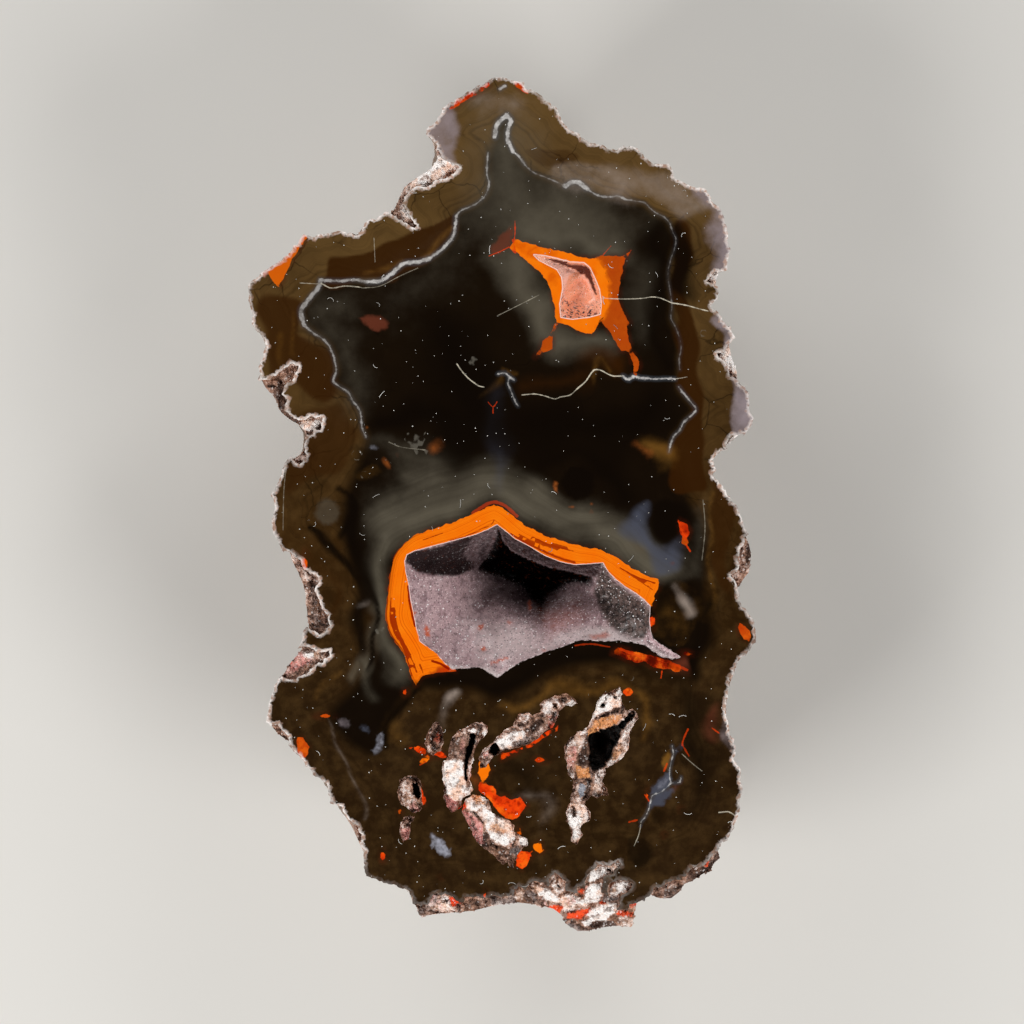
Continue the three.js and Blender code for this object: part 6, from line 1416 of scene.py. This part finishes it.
# Geometry Nodes tree that grows copies of a small shape over the faces where the attribute "grow" is 1
def growTree(name, keepBase):
    tree = bpy.data.node_groups.new(name, "GeometryNodeTree")
    inputs = {"Geometry": "Geometry", "Shape": "Object", "Spacing": "Float", "Density": "Float",
              "Smallest": "Float", "Largest": "Float", "Tilt": "Float", "Seed": "Int", "Material": "Material"}
    for label, kind in inputs.items():
        tree.interface.new_socket(label, in_out="INPUT", socket_type="NodeSocket" + kind)
    tree.interface.new_socket("Geometry", in_out="OUTPUT", socket_type="NodeSocketGeometry")
    given = addNode(tree, "NodeGroupInput").outputs
    grow = addNode(tree, "GeometryNodeInputNamedAttribute", {"Name": "grow"}, data_type="FLOAT")
    sockets = {0: grow, 1: 0.5}
    chosen = addNode(tree, "FunctionNodeCompare", sockets, data_type="FLOAT", operation="GREATER_THAN")
    points = addNode(tree, "GeometryNodeDistributePointsOnFaces", {
        "Mesh": given["Geometry"], "Selection": chosen, "Distance Min": given["Spacing"],
        "Density Max": given["Density"], "Seed": given["Seed"]}, distribute_method="POISSON")
    lean = addNode(tree, "ShaderNodeMath", {0: given["Tilt"], 1: -1.0}, operation="MULTIPLY")
    lowTurn = addNode(tree, "ShaderNodeCombineXYZ", {0: lean, 1: lean, 2: -3.1416})
    highTurn = addNode(tree, "ShaderNodeCombineXYZ", {0: given["Tilt"], 1: given["Tilt"], 2: 3.1416})
    sockets = {0: lowTurn, 1: highTurn, "Seed": 3}
    turn = addNode(tree, "FunctionNodeRandomValue", sockets, data_type="FLOAT_VECTOR")
    sockets = {0: points.outputs["Rotation"], 1: turn.outputs[0]}
    turned = addNode(tree, "FunctionNodeRotateRotation", sockets, rotation_space="LOCAL")
    sockets = {2: given["Smallest"], 3: given["Largest"], "Seed": 5}
    size = addNode(tree, "FunctionNodeRandomValue", sockets, data_type="FLOAT")
    shape = addNode(tree, "GeometryNodeObjectInfo", {"Object": given["Shape"]})
    copies = addNode(tree, "GeometryNodeInstanceOnPoints", {
        "Points": points, "Instance": shape.outputs["Geometry"], "Rotation": turned,
        "Scale": size.outputs[1]})
    tint = addNode(tree, "FunctionNodeRandomValue", {2: 0.0, 3: 1.0, "Seed": 7}, data_type="FLOAT")
    sockets = {"Geometry": copies, "Name": "tint", "Value": tint.outputs[1]}
    grown = addNode(tree, "GeometryNodeStoreNamedAttribute", sockets, data_type="FLOAT", domain="INSTANCE")
    if keepBase:
        joined = addNode(tree, "GeometryNodeJoinGeometry", {0: grown})
        tree.links.new(given["Geometry"], joined.inputs[0])
        grown = joined
    real = addNode(tree, "GeometryNodeRealizeInstances", {0: grown})
    finished = addNode(tree, "GeometryNodeSetMaterial", {"Geometry": real, "Material": given["Material"]})
    addNode(tree, "NodeGroupOutput", {0: finished})
    return tree


# The plain mesh that the tree makes of a piece
def grownMesh(base, tree, settings, shape, material):
    values = {
        "Shape": shape, "Material": material, "Spacing": settings["spacing"] * mm,
        "Density": settings["perMm2"] / mm ** 2, "Smallest": settings["smallest"] * mm,
        "Largest": settings["largest"] * mm, "Tilt": settings["tilt"], "Seed": settings["seed"]}
    modifier = base.modifiers.new("grow", "NODES")
    modifier.node_group = tree
    for item in tree.interface.items_tree:
        if item.in_out == "INPUT" and item.name in values:
            modifier[item.identifier] = values[item.name]
    base.update_tag()
    bpy.context.view_layer.update()
    result = bpy.data.meshes.new_from_object(base.evaluated_get(bpy.context.evaluated_depsgraph_get()))
    base.modifiers.remove(modifier)
    bpy.data.objects.remove(shape)
    return result


# Quartz druse, as it grew: small clear tips, each catching the light its own way; painted shade and painted
# glints lie in its colour
def quartzDruse(settings):
    made, tree, shader, fields = startMaterial(settings["material"], {
        "broad": (2.5, 4, 0.5), "fine": (0.4, 3, 0.5), "mottle": (0.8, 4, 0.65), "grit": (0.55, 4, 0.7),
        "dots": (0.28, 2, 0.5)})
    fields["rough"] = valueOf(tree, fields, (-0.5, "fine", 1.0))
    fields["mixed"] = valueOf(tree, fields, ((0.0, "tint", 0.6), "broad", 0.8))
    fields["lit"] = maskOf(tree, fields, (("shade", "umber", 0.9), 1.0, 0.0))
    layers = [(settings["middle"], ("mixed", 0.25, 0.65)), (settings["pale"], ("mixed", 0.65, 1.1)),
              (settings["shadow"], ("mottle", 0.5, 0.66, 0.0, 0.6))]
    for name, strength, over in settings["tones"]:
        layers.append((over, ((name, "rough", 0.5), 0.05, 0.85, 0.0, strength)))
    # The olive end of the crater is gritty: painted shade in the gaps between its grains.
    # Grains differ: some dark, some pale and a few white as painted glints; none shows in the painted shade
    layers += [
        ("#1C1512", ("grit", 0.53, 0.45, 0.0, 0.8), "olive"),
        ("#4A383A", ("tint", 0.18, 0.16, 0.0, 0.6), "lit"),
        (settings["pale"], ("tint", 0.84, 0.88, 0.0, 0.7), "lit"),
        (settings["glint"], ("tint", 0.945, 0.95, 0.0, 0.95), "lit"),
        ("#3A2A34", ("dots", 0.56, 0.6), "speck"),
    ]
    plug(tree, shader, {
        "Base Color": layColours(tree, fields, settings["dark"], layers), "Roughness": 0.32, "IOR": 1.544,
        "Specular IOR Level": maskOf(tree, fields, ("lit", 0.0, 1.0, 0.0, 0.5))})
    return made


# A crust fills its hollow from lip to lip: a fine sheet on top of the CAD crust, closed by a back inside it
def crustSheet(shell, key):
    settings = druse[key]
    corners, triangles = cadArrays(settings["node"])
    below = BVHTree.FromPolygons(corners.tolist(), triangles.tolist())
    rim = shell["corners"][shell["mouthLoops"][key]][:, :2]
    count, pitch = len(rim), settings["pitch"]
    inner = staggered(rim.min(axis=0), rim.max(axis=0), pitch)
    inner = inner[signedDistance(inner, rim, pitch) > pitch * 0.5]
    places = [Vector(p) for p in np.concatenate([rim, inner])]
    rimEdges = [(n, (n + 1) % count) for n in range(count)]
    flat, _, faces, _, _, _ = delaunay_2d_cdt(places, rimEdges, [], 0, 1e-7)
    flat, faces = np.array(flat), np.array(faces)
    faces = faces[insideOf(flat[faces].mean(axis=1), rim)]
    edges = np.unique(np.sort(faces[:, [0, 1, 1, 2, 2, 0]].reshape(-1, 2), axis=1), axis=0)
    # Places that the CAD crust doesn't reach are stretched between the others
    lipHeight = faceHeight - crust["lipDrop"]
    heights, unknown = np.full(len(flat), lipHeight), np.zeros(len(flat))
    for n in range(count, len(flat)):
        hit = below.ray_cast((*flat[n], 60.0), (0, 0, -1))[0]
        heights[n] = hit.z if hit else lipHeight - 0.3
        unknown[n] = not hit
    sheet = relaxed(np.column_stack([flat, heights]), edges, unknown, 12)
    sheet = relaxed(sheet, edges, (np.arange(len(flat)) >= count).astype(float), settings["evening"])
    sheet[:, 2] = np.minimum(sheet[:, 2], lipHeight)
    # The back keeps clear of the stone's own wall
    before, after = np.roll(rim, 1, axis=0), np.roll(rim, -1, axis=0)
    inward = np.stack([before[:, 1] - after[:, 1], after[:, 0] - before[:, 0]], axis=1)
    inward /= np.linalg.norm(inward, axis=1, keepdims=True) + 1e-9
    ordered = insideOf((rim + inward * 0.05)[:1], rim)[0]
    back = sheet - (0, 0, crust["thickness"])
    back[:count, :2] += inward * crust["inset"] * (1 if ordered else -1)
    if triangleNormals(sheet, faces)[:, 2].sum() < 0:
        faces = faces[:, ::-1]
    total = len(sheet)
    ring = rimEdges if ordered else [(q, p) for p, q in rimEdges]
    sides = [(q, p, p + total) for p, q in ring] + [(q, p + total, q + total) for p, q in ring]
    return np.concatenate([sheet, back]), np.concatenate([faces, faces[:, ::-1] + total, sides]), total


# Gives a piece its grown mesh, held below a height
def dress(base, grown, highest):
    flat = np.empty(len(grown.vertices) * 3, np.float32)
    grown.vertices.foreach_get("co", flat)
    flat[2::3] = np.minimum(flat[2::3], highest * mm)
    grown.vertices.foreach_set("co", flat)
    base.data = grown
    grown.name = base.name


def buildDruse(shell, key):
    settings = druse[key]
    material = quartzDruse(settings)
    corners, faces, total = crustSheet(shell, key)
    base = pieceFrom(settings["piece"], corners, faces, [material])
    values = paintAreas(swayed(corners[:, :2], "druse"), settings["areas"], druseTones)
    values["tint"] = np.full(len(corners), 0.3)
    values["grow"] = np.arange(len(corners)) < total
    storeAttributes(base.data, values)
    grown = grownMesh(base, growTree("grow " + key, True), settings, quartzPoint(), material)
    dress(base, grown, faceHeight - crust["clear"])
    handOver(base, settings["node"])


# Loose grains on the crumbly matrix: not too steep, near the face and outside the holes
crumbs = {"spacing": 0.22, "perMm2": 1000, "smallest": 0.12, "largest": 0.34, "tilt": 0.8, "seed": 12,
          "steepest": 0.25, "reach": 2.2, "fade": 0.4, "void": 0.4, "clear": 0.01}


def buildCrumbs(shell):
    used, corners, faces = cutOut(shell["faceCorners"], shell["crumbFaces"])
    base = pieceFrom("matrix_crumbs", corners, faces, [shell["matrix"]])
    values = {name: column[used] for name, column in shell["painted"].items()}
    high = smoothRise((corners[:, 2] - (faceHeight - crumbs["reach"])) / crumbs["fade"])
    flat = vertexNormals(corners, faces)[:, 2] > crumbs["steepest"]
    values["grow"] = flat * high * (values["void"] < crumbs["void"])
    storeAttributes(base.data, values)
    grown = grownMesh(base, growTree("scatter crumbs", False), crumbs, matrixGrain(), shell["matrix"])
    dress(base, grown, faceHeight - crumbs["clear"])
    handOver(base)


# Dust specks and short bent fibres lie on the polish, as in the photo
dust = {
    "specks": {"spacing": 0.12, "perMm2": 0.2, "smallest": 0.04, "largest": 0.13, "tilt": 0.5, "seed": 21},
    "fibres": {"spacing": 0.12, "perMm2": 0.006, "smallest": 0.4, "largest": 0.9, "tilt": 0.04, "seed": 31},
    "bends": (0.5, 1.4, 2.6), "lift": 0.01,
}


# Pale household dust: dull and white
def paleDust():
    made, tree, shader, fields = startMaterial("pale dust and lint", {})
    colour = layColours(tree, fields, "#9C9790", [("#F4F1EA", "tint")])
    plug(tree, shader, {"Base Color": colour, "Roughness": 0.8})
    return made


def buildDust(shell):
    material = paleDust()
    _, corners, faces = cutOut(shell["faceCorners"], shell["faceTriangles"])
    base = pieceFrom("dust_and_lint", corners, faces, [material])
    storeAttributes(base.data, {"grow": np.ones(len(corners))})
    tree = growTree("scatter dust", False)
    merged = bmesh.new()
    shapes = [("specks", matrixGrain())] + [("fibres", lintFibre(bend)) for bend in dust["bends"]]
    for n, (kind, shape) in enumerate(shapes):
        settings = dict(dust[kind], seed=dust[kind]["seed"] + n)
        grown = grownMesh(base, tree, settings, shape, material)
        merged.from_mesh(grown)
        bpy.data.meshes.remove(grown)
    bmesh.ops.translate(merged, vec=(0, 0, dust["lift"] * mm), verts=merged.verts)
    base.data = bpy.data.meshes.new("dust_and_lint")
    merged.to_mesh(base.data)
    merged.free()
    base.data.materials.append(material)
    handOver(base)


buildCamera()
buildStudio()
shell = buildStone()
buildDruse(shell, "crater")
buildDruse(shell, "pocket")
buildCrumbs(shell)
buildDust(shell)
